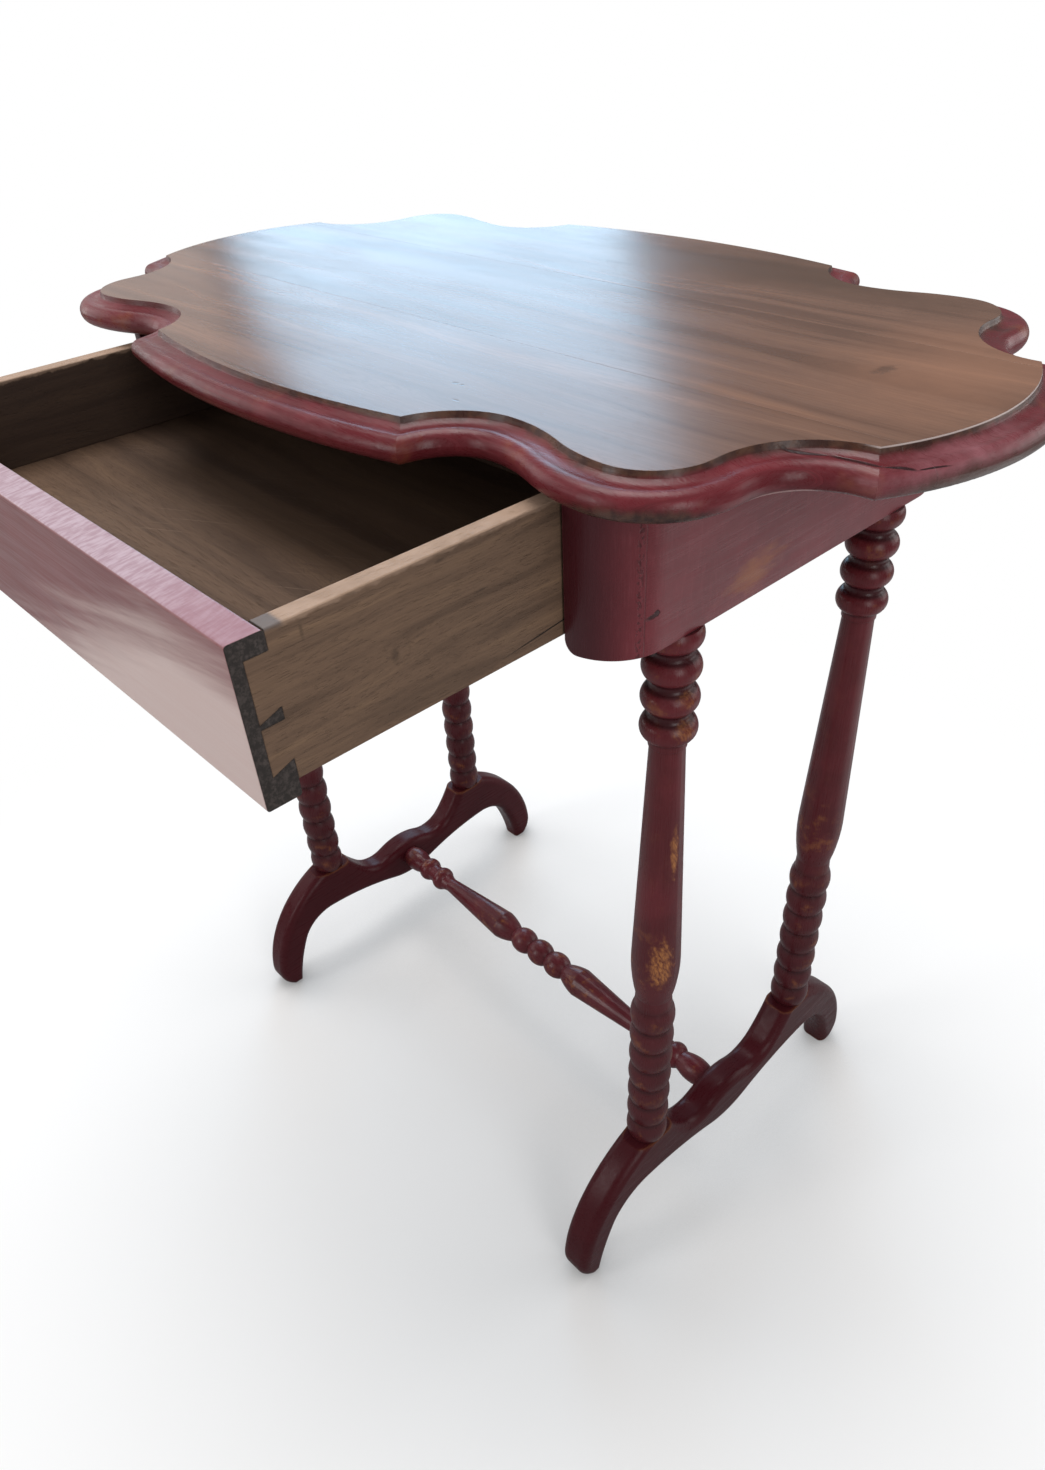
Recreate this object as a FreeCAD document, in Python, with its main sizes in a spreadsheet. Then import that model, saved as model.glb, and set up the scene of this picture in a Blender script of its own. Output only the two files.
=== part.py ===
import FreeCAD, Part
import math
import os
import re

# A small trestle table with a shaped, moulded top and one drawer under it.
# Frame: millimetres, +Z up, +X to the right seen from the drawer side, -Y towards whoever opens the
# drawer.  The origin is on the floor under the middle of the top.  The drawer stands partly open.

V = FreeCAD.Vector
X_AXIS = V(1, 0, 0)
Y_AXIS = V(0, 1, 0)
Z_AXIS = V(0, 0, 1)
SIDES = (("left", -1), ("right", 1))
ENDS = (("front", -1), ("rear", 1))
NEAR = 0.001

doc = FreeCAD.newDocument("TrestleTable")

# Driving dimensions, in millimetres
SIZES = (
    ("table_height", 720, "floor to the flat of the top"),
    ("top_thickness", 18.5, "top slab"),
    ("bulge_corner_x", 124, "pointed corner at the end of the front bulge, from the middle"),
    ("bulge_corner_y", 184, "the same corner, from the middle of the depth"),
    ("bulge_rise", 13, "height of the front bulge over its corners"),
    ("cove_x", 169, "deepest place of the front cove, from the middle"),
    ("cove_y", 150, "deepest place of the front cove, from the middle of the depth"),
    ("front_lobe_x", 241, "foremost place of a front corner lobe, from the middle"),
    ("front_lobe_y", 164, "the same place, from the middle of the depth"),
    ("front_lobe_radius", 33, "nose of a front corner lobe"),
    ("rear_lobe_x", 236, "rearmost place of a rear corner lobe, from the middle"),
    ("rear_lobe_y", 161, "the same place, from the middle of the depth"),
    ("rear_lobe_radius", 30, "nose of a rear corner lobe, which is a little smaller"),
    ("lobe_flat_y", 125, "where the straight side of the lobe ends"),
    ("end_corner_x", 320, "pointed corner at the end bulge, from the middle"),
    ("end_corner_y", 74, "the same corner, from the middle of the depth"),
    ("end_rise", 20, "height of the end bulge over its corners"),
    ("moulding_width", 17.5, "edge moulding outside the flat of the top"),
    ("moulding_root", 4, "how far the moulding is worked into the slab"),
    ("nose_radius", 7, "round nose of the moulding"),
    ("quirk_depth", 3.2, "upright step under the arris of the flat"),
    ("quirk_width", 1.1, "how far that step leans out"),
    ("cove_out", 9.2, "where the cove of the moulding meets the nose, from the arris"),
    ("cove_sag", 0.85, "hollow of the cove of the moulding"),
    ("centre_board_width", 130, "middle board of the top"),
    ("case_height", 90, "drawer case"),
    ("case_width", 493, "drawer case over its side aprons"),
    ("case_depth", 320, "drawer case over its corner blocks"),
    ("apron_thickness", 26.4, "side apron"),
    ("back_thickness", 20, "back apron"),
    ("block_width", 36, "corner block along the front"),
    ("block_depth", 23, "corner block along the side"),
    ("corner_round", 35, "upright corner of the case, rounded over block and apron"),
    ("block_foot_round", 8, "round of the block's lower inner corner"),
    ("tongue_thickness", 8, "tongues on the ends of the aprons"),
    ("tongue_length", 8, "tongues on the ends of the aprons"),
    ("cleat_height", 22, "cleat under the top"),
    ("runner_reach", 18, "runner inside the guide face"),
    ("guide_height", 40, "upright of the runner"),
    ("drawer_side_gap", 1.8, "drawer to case, each side"),
    ("drawer_top_gap", 7, "drawer to the underside of the top"),
    ("running_gap", 0.3, "drawer to runner and to stops"),
    ("drawer_length", 285, "drawer from face to back"),
    ("drawer_open", 180, "how far the drawer is drawn out"),
    ("front_thickness", 18, "drawer front"),
    ("side_thickness", 10.8, "drawer side"),
    ("side_lift", 8.5, "drawer side above the lower edge of the front"),
    ("front_lap", 6.4, "wood left in front of the dovetails"),
    ("top_pin_height", 9.5, "half pin over the upper tail"),
    ("upper_tail_height", 26.8, "upper tail at its root"),
    ("middle_pin_height", 6.2, "pin between the tails at their root"),
    ("lower_tail_height", 20.7, "lower tail at its root"),
    ("tail_flare", 4.2, "how much lower a tail is at its end"),
    ("bottom_thickness", 7, "drawer bottom"),
    ("bottom_lift", 13, "drawer bottom above the lower edge of the sides"),
    ("groove_depth", 5, "groove for the drawer bottom"),
    ("drawer_back_thickness", 10, "drawer back"),
    ("drawer_back_drop", 4, "drawer back below the top of the sides"),
    ("housing_depth", 3, "drawer back let into the sides"),
    ("stop_depth", 14.7, "drawer stop, in front of the back apron"),
    ("stop_width", 24, "drawer stop"),
    ("stop_height", 25, "drawer stop"),
    ("stop_lift", 39, "drawer stop above the lower edge of the case"),
    ("stop_x", 150, "drawer stop from the middle"),
    ("leg_inset", 13.2, "leg axis in from the outer face of the side apron"),
    ("leg_y", 100.1, "leg axis from the middle of the depth"),
    ("leg_seat", 126.7, "top of the foot's pad above the floor"),
    ("upper_tenon_radius", 9, "leg tenon in the apron"),
    ("upper_tenon_length", 34, "leg tenon in the apron"),
    ("lower_tenon_radius", 10, "leg tenon in the foot"),
    ("lower_tenon_length", 32, "leg tenon in the foot"),
    ("mortise_gap", 0.1, "glue gap round a turned tenon"),
    ("mortise_spare", 1, "room beyond the end of a turned tenon"),
    ("ring_radius", 17.3, "rings under the case"),
    ("ring_half_height", 7.6, "rings under the case"),
    ("ring_pitch", 20.4, "rings under the case"),
    ("ring_first", 5.5, "middle of the highest ring below the case"),
    ("ring_edge_radius", 13.2, "where ring and hollow meet"),
    ("ring_hollow_radius", 12.1, "hollow between two rings"),
    ("collar_radius", 11.7, "collar under the rings"),
    ("collar_height", 5.5, "collar under the rings"),
    ("shaft_top_radius", 10.9, "thin end of the leg shaft"),
    ("shaft_radius", 17.5, "thick end of the leg shaft"),
    ("shoulder_lift", 52, "thickest place of the shaft above the spool"),
    ("shoulder_turn", 30, "middle of the rounded shoulder, above the spool"),
    ("shoulder_radius", 16.475, "shaft in the middle of that shoulder"),
    ("neck_radius", 13.4, "neck between shaft and spool"),
    ("neck_lift", 11, "neck above the spool"),
    ("spool_pitch", 24, "beads of the spool"),
    ("spool_radius", 16.8, "beads of the spool"),
    ("spool_hollow_radius", 14, "valley between two beads"),
    ("foot_thickness", 28, "trestle foot"),
    ("foot_edge_round", 8, "rounded edges of the foot"),
    ("foot_half_length", 191, "foot from its middle to the tip of the toe"),
    ("boss_top", 101, "top of the middle boss above the floor"),
    ("boss_half", 26, "where the boss meets the dip, from the middle"),
    ("boss_edge", 95.5, "height of that place"),
    ("dip_end_y", 60, "where the dip turns up to the pad, from the middle"),
    ("dip_end", 102, "height of that place"),
    ("pad_inner_y", 79, "inner edge of the leg pad, from the middle"),
    ("pad_outer_y", 121, "outer edge of the leg pad, from the middle"),
    ("heel_slope", 26, "fall of the foot just outside the pad, in degrees"),
    ("toe_back", 26, "height where the back of the foot meets the toe"),
    ("toe_half", 179, "where the toe touches the floor, from the middle"),
    ("toe_inner", 168, "inner edge of the sole, from the middle"),
    ("arch_slope", 80, "rise of the arch at the sole, in degrees"),
    ("haunch_y", 150, "side of the arch, from the middle"),
    ("haunch", 55, "height of that place"),
    ("arch_y", 112, "highest place of the arch, from the middle"),
    ("arch_top", 77.5, "highest place of the arch above the floor"),
    ("belly_half", 26, "belly under the boss, from the middle"),
    ("belly_edge", 60.5, "height of the edge of the belly"),
    ("stretcher_drop", 17.5, "stretcher axis below the top of the boss"),
    ("stretcher_tenon_radius", 7, "stretcher tenon in the foot"),
    ("stretcher_tenon_length", 18, "stretcher tenon in the foot"),
    ("middle_bead_radius", 13.5, "middle beads of the stretcher"),
    ("middle_bead_pitch", 24.5, "middle beads of the stretcher"),
    ("middle_hollow_radius", 8.6, "hollows beside the middle beads"),
    ("vase_radius", 15.3, "thick end of the stretcher's vase"),
    ("vase_swell_x", 47, "where the vase swells, from the middle"),
    ("vase_swell_radius", 12.95, "vase at that place"),
    ("vase_thick_x", 58, "thickest place of the vase, from the middle"),
    ("vase_end_radius", 7.7, "thin end of the vase"),
    ("end_ring_radius", 13, "rings at the end of the stretcher"),
    ("end_ring_pitch", 22.5, "rings at the end of the stretcher"),
    ("end_ring_half", 7.5, "rings at the end of the stretcher"),
    ("end_ring_edge_radius", 9.47, "where those rings rise"),
    ("barrel_length", 24.55, "barrel against the foot"),
    ("barrel_radius", 12.6, "barrel against the foot"),
    ("barrel_end_radius", 10.5, "ends of that barrel"),
    ("screw_radius", 2, "shank of the screws"),
    ("screw_head_radius", 3.8, "head of the screws"),
    ("screw_head_height", 2.6, "head of the screws"),
    ("side_screw_length", 26, "screws of cleats and runners"),
    ("side_screw_y", 62, "outer screws of cleats and runners, from the middle"),
    ("runner_screw_lift", 28, "runner screws above the lower edge of the case"),
    ("top_screw_length", 32, "screws from the cleats into the top"),
    ("top_screw_y", 100, "outer screws of the top, from the middle"),
    ("nail_radius", 1.1, "nails of the drawer"),
    ("nail_length", 26, "nails of the drawer"),
    ("bottom_nail_x", 130, "outer nails of the drawer bottom, from the middle"),
    ("back_nail_low", 14, "lower nail above the drawer bottom"),
    ("back_nail_high", 38, "upper nail above the drawer bottom"),
)

# Places that follow from the driving dimensions
PLACES = (
    ("case_top", "table_height - top_thickness"),
    ("case_bottom", "case_top - case_height"),
    ("case_half", "case_width / 2"),
    ("case_front", "case_depth / 2"),
    ("seam_y", "case_front - block_depth"),
    ("apron_inner", "case_half - apron_thickness"),
    ("guide_face", "case_half - block_width"),
    ("guide_thickness", "apron_inner - guide_face"),
    ("drawer_half", "guide_face - drawer_side_gap"),
    ("drawer_top", "case_top - drawer_top_gap"),
    ("drawer_face", "0 - case_front - drawer_open"),
    ("drawer_inner", "drawer_half - side_thickness"),
    ("side_foot", "case_bottom + side_lift"),
    ("front_inner", "drawer_face + front_thickness"),
    ("drawer_end", "drawer_face + drawer_length"),
    ("bottom_low", "side_foot + bottom_lift"),
    ("bottom_high", "bottom_low + bottom_thickness"),
    ("runner_top", "side_foot - running_gap"),
    ("back_inner", "case_front - back_thickness"),
    ("closed_end", "back_inner - stop_depth - running_gap"),
    ("leg_x", "case_half - leg_inset"),
    ("foot_inner", "leg_x - foot_thickness / 2"),
    ("stretcher_height", "boss_top - stretcher_drop"),
)


def make_sheet(name, rows):
    """A spreadsheet with a note, a value and an alias on each row."""
    sheet = doc.addObject("Spreadsheet::Sheet", name)
    for row, (alias, content, note) in enumerate(rows, start=1):
        sheet.set(f"A{row}", note)
        sheet.set(f"B{row}", content)
        sheet.setAlias(f"B{row}", alias)
    doc.recompute()
    return sheet


def on_sheet(text):
    """The expression with each alias written as a reference to its cell."""
    def cell(match):
        word = match.group()
        if word in size_names:
            return f"Sizes.{word}"
        if word in place_names:
            return f"Places.{word}"
        return word
    return re.sub(r"[a-z_]+", cell, text)


size_names = {alias for alias, number, note in SIZES}
place_names = {alias for alias, formula in PLACES}
sizes = make_sheet("Sizes", [(alias, str(number), note) for alias, number, note in SIZES])
place_rows = [(alias, "=" + on_sheet(formula).replace("Places.", "")) for alias, formula in PLACES]
places = make_sheet("Places", [(alias, formula, alias.replace("_", " ")) for alias, formula in place_rows])


def value(alias):
    """The number that a cell holds."""
    sheet = sizes if alias in size_names else places
    return float(sheet.get(alias))


nodes = []


def node(piece, label):
    """Names a finished sub-part."""
    piece.Label = label
    nodes.append(piece)
    return piece


def bind(piece, **expressions):
    """Binds properties of an object to the sheets."""
    for name, text in expressions.items():
        piece.setExpression(name, on_sheet(text))
    return piece


def place(piece, x, y, z):
    """Binds the place of an object to the sheets."""
    for axis, text in zip("xyz", (x, y, z)):
        piece.setExpression(f"Placement.Base.{axis}", on_sheet(text))
    return piece


def board(name, length, width, height, x, y, z):
    """A squared board, from its low corner."""
    box = doc.addObject("Part::Box", name)
    bind(box, Length=length, Width=width, Height=height)
    return place(box, x, y, z)


def rod(name, radius, length, x, y, z, direction):
    """A round rod that starts at a place and runs along a direction."""
    cylinder = doc.addObject("Part::Cylinder", name)
    cylinder.Placement.Rotation = FreeCAD.Rotation(Z_AXIS, direction)
    bind(cylinder, Radius=radius, Height=length)
    return place(cylinder, x, y, z)


def compound(name, pieces):
    """A group of separate solids."""
    group = doc.addObject("Part::Compound", name)
    group.Links = pieces
    return group


def fuse(name, pieces, merge_faces=True):
    """One solid from pieces that overlap or touch."""
    fusion = doc.addObject("Part::MultiFuse", name)
    fusion.Shapes = pieces
    fusion.Refine = merge_faces
    return fusion


def cut(name, base, tools, merge_faces=True):
    """The base with every tool taken out of it."""
    result = doc.addObject("Part::Cut", name)
    result.Base = base
    result.Tool = tools[0] if len(tools) == 1 else compound(name + "_tools", tools)
    result.Refine = merge_faces
    return result


def rounded(name, base, radius, chosen):
    """The base with the chosen edges rounded."""
    doc.recompute()
    fillet = doc.addObject("Part::Fillet", name)
    fillet.Base = base
    fillet.Edges = [(number, value(radius), value(radius))
                    for number, edge in enumerate(base.Shape.Edges, start=1) if chosen(edge.BoundBox)]
    return fillet


def common(name, base, form):
    """What the base shares with a form."""
    result = doc.addObject("Part::Common", name)
    result.Base = base
    result.Tool = form
    result.Refine = False
    return result


def extrusion(name, sketch, length):
    """A sawn blank: a sketch drawn out along its normal."""
    blank = doc.addObject("Part::Extrusion", name)
    blank.Base = sketch
    blank.DirMode = "Normal"
    blank.Solid = True
    return bind(blank, LengthFwd=length)


def plane_of(body, role):
    """One of the body's own origin planes."""
    return next(item for item in body.Origin.OriginFeatures if item.Role == role)


def body_sketch(body, name, role, edges):
    """A sketch on an origin plane of the body."""
    sketch = body.newObject("Sketcher::SketchObject", name)
    sketch.AttachmentSupport = [(plane_of(body, role), "")]
    sketch.MapMode = "FlatFace"
    sketch.addGeometry(edges, False)
    return sketch


def line(start, end):
    """A straight edge of a sketch."""
    return Part.LineSegment(V(*start, 0), V(*end, 0))


def arc_about(centre, start, end):
    """The shorter arc of a sketch from start to end about a centre."""
    centre, start, end = V(*centre, 0), V(*start, 0), V(*end, 0)
    first = math.atan2(start.y - centre.y, start.x - centre.x)
    last = math.atan2(end.y - centre.y, end.x - centre.x)
    if math.remainder(last - first, 2 * math.pi) < 0:
        first, last = last, first
    if last < first:
        last += 2 * math.pi
    return Part.ArcOfCircle(Part.Circle(centre, Z_AXIS, (start - centre).Length), first, last)


def centre_by_normal(start, normal, end):
    """The centre of the circle that passes start with this unit normal, and passes end."""
    chord = V(*end, 0) - V(*start, 0)
    normal = V(*normal, 0)
    reach = chord.dot(chord) / (2 * normal.dot(chord))
    return start[0] + normal.x * reach, start[1] + normal.y * reach


def arc_through(start, middle, end):
    """An arc of a sketch through three places."""
    circle = Part.Arc(V(*start, 0), V(*middle, 0), V(*end, 0)).toShape().Curve
    centre = (circle.Center.x, circle.Center.y)
    return arc_about(centre, start, end)


def tangent_chain(start, slope, stops):
    """Arcs that leave start at a slope in degrees and run smoothly through the stops; and the last slope."""
    edges = []
    turn = math.radians(slope)
    for stop in stops:
        normal = (-math.sin(turn), math.cos(turn))
        centre = centre_by_normal(start, normal, stop)
        edges.append(arc_about(centre, start, stop))
        chord = math.atan2(stop[1] - start[1], stop[0] - start[0])
        turn = 2 * chord - turn
        start = stop
    return edges, math.degrees(turn)


def mirrored(edges):
    """Sketch edges with their mirror images across the sketch's upright axis."""
    images = []
    for edge in edges:
        start, end = edge.StartPoint, edge.EndPoint
        if isinstance(edge, Part.LineSegment):
            images.append(line((-start.x, start.y), (-end.x, end.y)))
        else:
            centre = edge.Center
            images.append(arc_about((-centre.x, centre.y), (-start.x, start.y), (-end.x, end.y)))
    return edges + images


# Top: three edge-glued boards, sawn to a line of bulges, coves and lobes, with a moulded edge.
def outline_half(end, sign):
    """The edge of the flat on the front or on the rear half: one quarter and its mirror image."""
    apex = (0, sign * (value("bulge_corner_y") + value("bulge_rise")))
    bulge_corner = (value("bulge_corner_x"), sign * value("bulge_corner_y"))
    cove = (value("cove_x"), sign * value("cove_y"))
    lobe = (value(f"{end}_lobe_x"), sign * value(f"{end}_lobe_y"))
    turn = ((cove[0] + lobe[0]) / 2, (cove[1] + lobe[1]) / 2)
    lobe_radius = value(f"{end}_lobe_radius")
    lobe_side = (lobe[0] + lobe_radius, lobe[1] - sign * lobe_radius)
    lobe_end = (lobe_side[0], sign * value("lobe_flat_y"))
    end_corner = (value("end_corner_x"), sign * value("end_corner_y"))
    end_apex = (value("end_corner_x") + value("end_rise"), 0)
    along, across = (0, 1), (1, 0)
    return mirrored([
        arc_about(centre_by_normal(apex, along, bulge_corner), apex, bulge_corner),
        arc_about(centre_by_normal(cove, along, bulge_corner), bulge_corner, cove),
        arc_about(centre_by_normal(cove, along, turn), cove, turn),
        arc_about(centre_by_normal(lobe, along, turn), turn, lobe),
        arc_about((lobe[0], lobe_side[1]), lobe, lobe_side),
        line(lobe_side, lobe_end),
        arc_about(centre_by_normal(lobe_end, across, end_corner), lobe_end, end_corner),
        arc_about(centre_by_normal(end_apex, across, end_corner), end_corner, end_apex),
    ])


def moulding_section():
    """The section of the edge: step, cove and nose, drawn outwards from the arris and up from below."""
    thickness = value("top_thickness")
    root = -value("moulding_root")
    nose = value("nose_radius")
    nose_centre = (value("moulding_width") - nose, nose)
    foot = (nose_centre[0], 0)
    quirk = (value("quirk_width"), thickness - value("quirk_depth"))
    join_x = value("cove_out")
    join = (join_x, nose + math.sqrt(nose ** 2 - (nose_centre[0] - join_x) ** 2))
    span = V(join[0] - quirk[0], join[1] - quirk[1], 0)
    sag = V(span.y, -span.x, 0).normalize() * value("cove_sag")
    hollow = ((quirk[0] + join[0]) / 2 + sag.x, (quirk[1] + join[1]) / 2 + sag.y)
    tip = (nose_centre[0] + nose, nose)
    return [
        line(foot, (root, 0)),
        line((root, 0), (root, thickness)),
        line((root, thickness), (0, thickness)),
        line((0, thickness), quirk),
        arc_through(quirk, hollow, join),
        arc_about(nose_centre, join, tip),
        arc_about(nose_centre, tip, foot),
    ]


outline = doc.addObject("Sketcher::SketchObject", "top_outline")
for end, sign in ENDS:
    outline.addGeometry(outline_half(end, sign), False)
place(outline, "0", "0", "case_top")

section = doc.addObject("Sketcher::SketchObject", "moulding_section")
section.addGeometry(moulding_section(), False)
section.Placement.Rotation = FreeCAD.Rotation(Y_AXIS, Z_AXIS, X_AXIS, "XYZ")
place(section, "0", "bulge_corner_y + bulge_rise", "case_top")
doc.recompute()

slab = extrusion("top_slab", outline, "top_thickness")

moulding = doc.addObject("Part::Sweep", "top_moulding")
moulding.Sections = [section]
moulding.Spine = (outline, [f"Edge{number}" for number in range(1, outline.GeometryCount + 1)])
moulding.Solid = True
moulding.Frenet = False
moulding.Transition = "Right corner"

top = fuse("top", [slab, moulding], merge_faces=False)
top_reach_x = "end_corner_x + end_rise + moulding_width"
top_reach_y = "bulge_corner_y + bulge_rise + moulding_width"
board_lines = {
    "front": (f"0 - ({top_reach_y})", f"{top_reach_y} - centre_board_width / 2"),
    "centre": ("0 - centre_board_width / 2", "centre_board_width"),
    "rear": ("centre_board_width / 2", f"{top_reach_y} - centre_board_width / 2"),
}
top_boards = {}
for name, (low, width) in board_lines.items():
    blank = board(f"{name}_blank", f"2 * ({top_reach_x})", width, "top_thickness",
                  f"0 - ({top_reach_x})", low, "case_top")
    top_boards[name] = common(f"{name}_board", top, blank)


# Fasteners: countersunk screws and plain nails, each group of like ones in one node.
def screw(name, length, x, y, z, direction):
    """A countersunk screw whose head lies flush at a place."""
    head = doc.addObject("Part::Cone", name + "_head")
    head.Placement.Rotation = FreeCAD.Rotation(Z_AXIS, direction)
    bind(head, Radius1="screw_head_radius", Radius2="screw_radius", Height="screw_head_height")
    place(head, x, y, z)
    shank = rod(name + "_shank", "screw_radius", length, x, y, z, direction)
    return fuse(name, [head, shank])


top_screws = []
cleat_screws = []
runner_screws = []
for side, sign in SIDES:
    middle = f"{sign} * (guide_face + guide_thickness / 2)"
    face = f"{sign} * guide_face"
    for number in (-1, 0, 1):
        name = f"{side}_{number + 2}"
        top_screws.append(screw(f"top_screw_{name}", "top_screw_length", middle, f"{number} * top_screw_y",
                                "case_top - cleat_height", Z_AXIS))
    for number in (-1, 1):
        name = f"{side}_{number + 2}"
        y = f"{number} * side_screw_y"
        cleat_screws.append(screw(f"cleat_screw_{name}", "side_screw_length", face, y,
                                  "case_top - cleat_height / 2", X_AXIS * sign))
        runner_screws.append(screw(f"runner_screw_{name}", "side_screw_length", face, y,
                                   "case_bottom + runner_screw_lift", X_AXIS * sign))
node(compound("TopScrews", top_screws), "top_screws")
node(compound("CleatScrews", cleat_screws), "cleat_screws")
node(compound("RunnerScrews", runner_screws), "runner_screws")
for name, piece in top_boards.items():
    node(cut(f"{name}_top", piece, top_screws, merge_faces=False), f"top_board_{name}")


# Case: thick side aprons and a back apron, tongued into rounded corner blocks.
def corner_block(name, side_sign, end_sign, tongues):
    """A block rounded with the case, its lower inner corner eased."""
    low_x = "guide_face" if side_sign > 0 else "0 - case_half"
    low_y = "seam_y" if end_sign > 0 else "0 - case_front"
    blank = board(name + "_blank", "block_width", "block_depth", "case_height", low_x, low_y, "case_bottom")
    shaped = common(name + "_shaped", blank, case_form)
    inner = side_sign * value("guide_face")
    eased = rounded(name + "_eased", shaped, "block_foot_round",
                    lambda box: box.ZMax < value("case_top") - NEAR and abs(box.XMin - inner) < NEAR
                    and abs(box.XMax - inner) < NEAR)
    return cut(name + "_grooved", eased, tongues)


case_block = board("case_block", "case_width", "case_depth", "case_height",
                   "0 - case_half", "0 - case_front", "case_bottom")
case_form = rounded("case_form", case_block, "corner_round",
                    lambda box: box.ZLength > value("case_height") / 2)

back_tongues = []
for side, sign in SIDES:
    x = "guide_face" if sign > 0 else "0 - guide_face - tongue_length"
    back_tongues.append(board(f"back_tongue_{side}", "tongue_length", "tongue_thickness", "case_height",
                              x, "case_front - back_thickness / 2 - tongue_thickness / 2", "case_bottom"))
back_board = board("back_board", "2 * guide_face", "back_thickness", "case_height",
                   "0 - guide_face", "back_inner", "case_bottom")
node(fuse("BackApron", [back_board] + back_tongues), "back_apron")

for side, sign in SIDES:
    low_x = "apron_inner" if sign > 0 else "0 - case_half"
    apron = board(f"{side}_apron_board", "apron_thickness", "2 * seam_y", "case_height",
                  low_x, "0 - seam_y", "case_bottom")
    tongues = {}
    for end, end_sign in ENDS:
        low_y = "seam_y" if end_sign > 0 else "0 - seam_y - tongue_length"
        tongues[end] = board(f"{side}_{end}_tongue", "tongue_thickness", "tongue_length", "case_height",
                             f"{low_x} + apron_thickness / 2 - tongue_thickness / 2", low_y, "case_bottom")
    mortises = [rod(f"{side}_{end}_apron_mortise", "upper_tenon_radius + mortise_gap",
                    "upper_tenon_length + mortise_spare", f"{sign} * leg_x", f"{end_sign} * leg_y",
                    "case_bottom", Z_AXIS) for end, end_sign in ENDS]
    shaped = common(f"{side}_apron_shaped", apron, case_form)
    tongued = fuse(f"{side}_apron_tongued", [shaped] + list(tongues.values()))
    side_screws = [item for item in cleat_screws + runner_screws if side in item.Name]
    node(cut(f"{side}_apron_bored", tongued, mortises + side_screws), f"side_apron_{side}")
    for end, end_sign in ENDS:
        let_in = [tongues[end]]
        if end == "rear":
            let_in.append(back_tongues[0 if sign < 0 else 1])
        node(corner_block(f"Block{side.title()}{end.title()}", sign, end_sign, let_in),
             f"corner_block_{end}_{side}")

    # Cleat under the top, and the runner that carries and guides the drawer
    guide_x = "guide_face" if sign > 0 else "0 - apron_inner"
    cleat = board(f"{side}_cleat_board", "guide_thickness", "2 * seam_y", "cleat_height",
                  guide_x, "0 - seam_y", "case_top - cleat_height")
    cleat_holes = [item for item in cleat_screws + top_screws if side in item.Name]
    node(cut(f"{side}_cleat_bored", cleat, cleat_holes), f"top_cleat_{side}")
    guide = board(f"{side}_guide", "guide_thickness", "2 * seam_y", "guide_height",
                  guide_x, "0 - seam_y", "case_bottom")
    ledge_x = "guide_face - runner_reach" if sign > 0 else "0 - apron_inner"
    ledge = board(f"{side}_ledge", "runner_reach + guide_thickness", "2 * seam_y", "runner_top - case_bottom",
                  ledge_x, "0 - seam_y", "case_bottom")
    runner = fuse(f"{side}_runner_blank", [guide, ledge])
    runner_holes = [item for item in runner_screws if side in item.Name]
    node(cut(f"{side}_runner_bored", runner, runner_holes), f"drawer_runner_{side}")

stops = [board(f"stop_{side}", "stop_width", "stop_depth", "stop_height",
               f"{sign} * stop_x - stop_width / 2", "closed_end + running_gap", "case_bottom + stop_lift")
         for side, sign in SIDES]
node(compound("DrawerStops", stops), "drawer_stops")


# Drawer: front with lapped dovetails, two sides, a back let into them and a grooved-in bottom.
def drawer_side_profile():
    """The side seen along X: a board with two tails at its front end."""
    root, tip = value("front_inner"), value("drawer_face") + value("front_lap")
    end, top_edge, foot = value("drawer_end"), value("drawer_top"), value("side_foot")
    flare = value("tail_flare")
    upper_top = top_edge - value("top_pin_height")
    upper_low = upper_top - value("upper_tail_height")
    lower_top = upper_low - value("middle_pin_height")
    lower_low = lower_top - value("lower_tail_height")
    corners = [
        (root, top_edge), (root, upper_top), (tip, upper_top), (tip, upper_low - flare), (root, upper_low),
        (root, lower_top), (tip, lower_top), (tip, lower_low - flare), (root, lower_low),
        (root, foot), (end, foot), (end, top_edge),
    ]
    return [line(start, stop) for start, stop in zip(corners, corners[1:] + corners[:1])]


drawer_sides = {}
for side, sign in SIDES:
    body = doc.addObject("PartDesign::Body", f"Drawer{side.title()}")
    sketch = body_sketch(body, f"drawer_{side}_profile", "YZ_Plane", drawer_side_profile())
    pad = body.newObject("PartDesign::Pad", f"drawer_{side}_pad")
    pad.Profile = sketch
    bind(pad, Length="side_thickness")
    place(body, "drawer_inner" if sign > 0 else "0 - drawer_half", "0", "0")
    drawer_sides[side] = body

drawer_bottom = board("drawer_bottom_board", "2 * (drawer_inner + groove_depth)",
                      "drawer_length - front_thickness + groove_depth", "bottom_thickness",
                      "0 - drawer_inner - groove_depth", "front_inner - groove_depth", "bottom_low")
drawer_back = board("drawer_back_board", "2 * (drawer_inner + housing_depth)", "drawer_back_thickness",
                    "drawer_top - drawer_back_drop - bottom_high", "0 - drawer_inner - housing_depth",
                    "drawer_end - drawer_back_thickness", "bottom_high")
drawer_front = board("drawer_front_board", "2 * drawer_half", "front_thickness", "drawer_top - case_bottom",
                     "0 - drawer_half", "drawer_face", "case_bottom")

nail_y = "drawer_end - drawer_back_thickness / 2"
bottom_nails = [rod(f"bottom_nail_{number + 2}", "nail_radius", "nail_length", f"{number} * bottom_nail_x",
                    nail_y, "bottom_low", Z_AXIS) for number in (-1, 0, 1)]
back_nails = [rod(f"back_nail_{side}_{level}", "nail_radius", "nail_length", f"{sign} * drawer_half",
                  nail_y, f"bottom_high + back_nail_{level}", X_AXIS * -sign)
              for side, sign in SIDES for level in ("low", "high")]
node(compound("BottomNails", bottom_nails), "drawer_bottom_nails")
node(compound("BackNails", back_nails), "drawer_back_nails")

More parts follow.
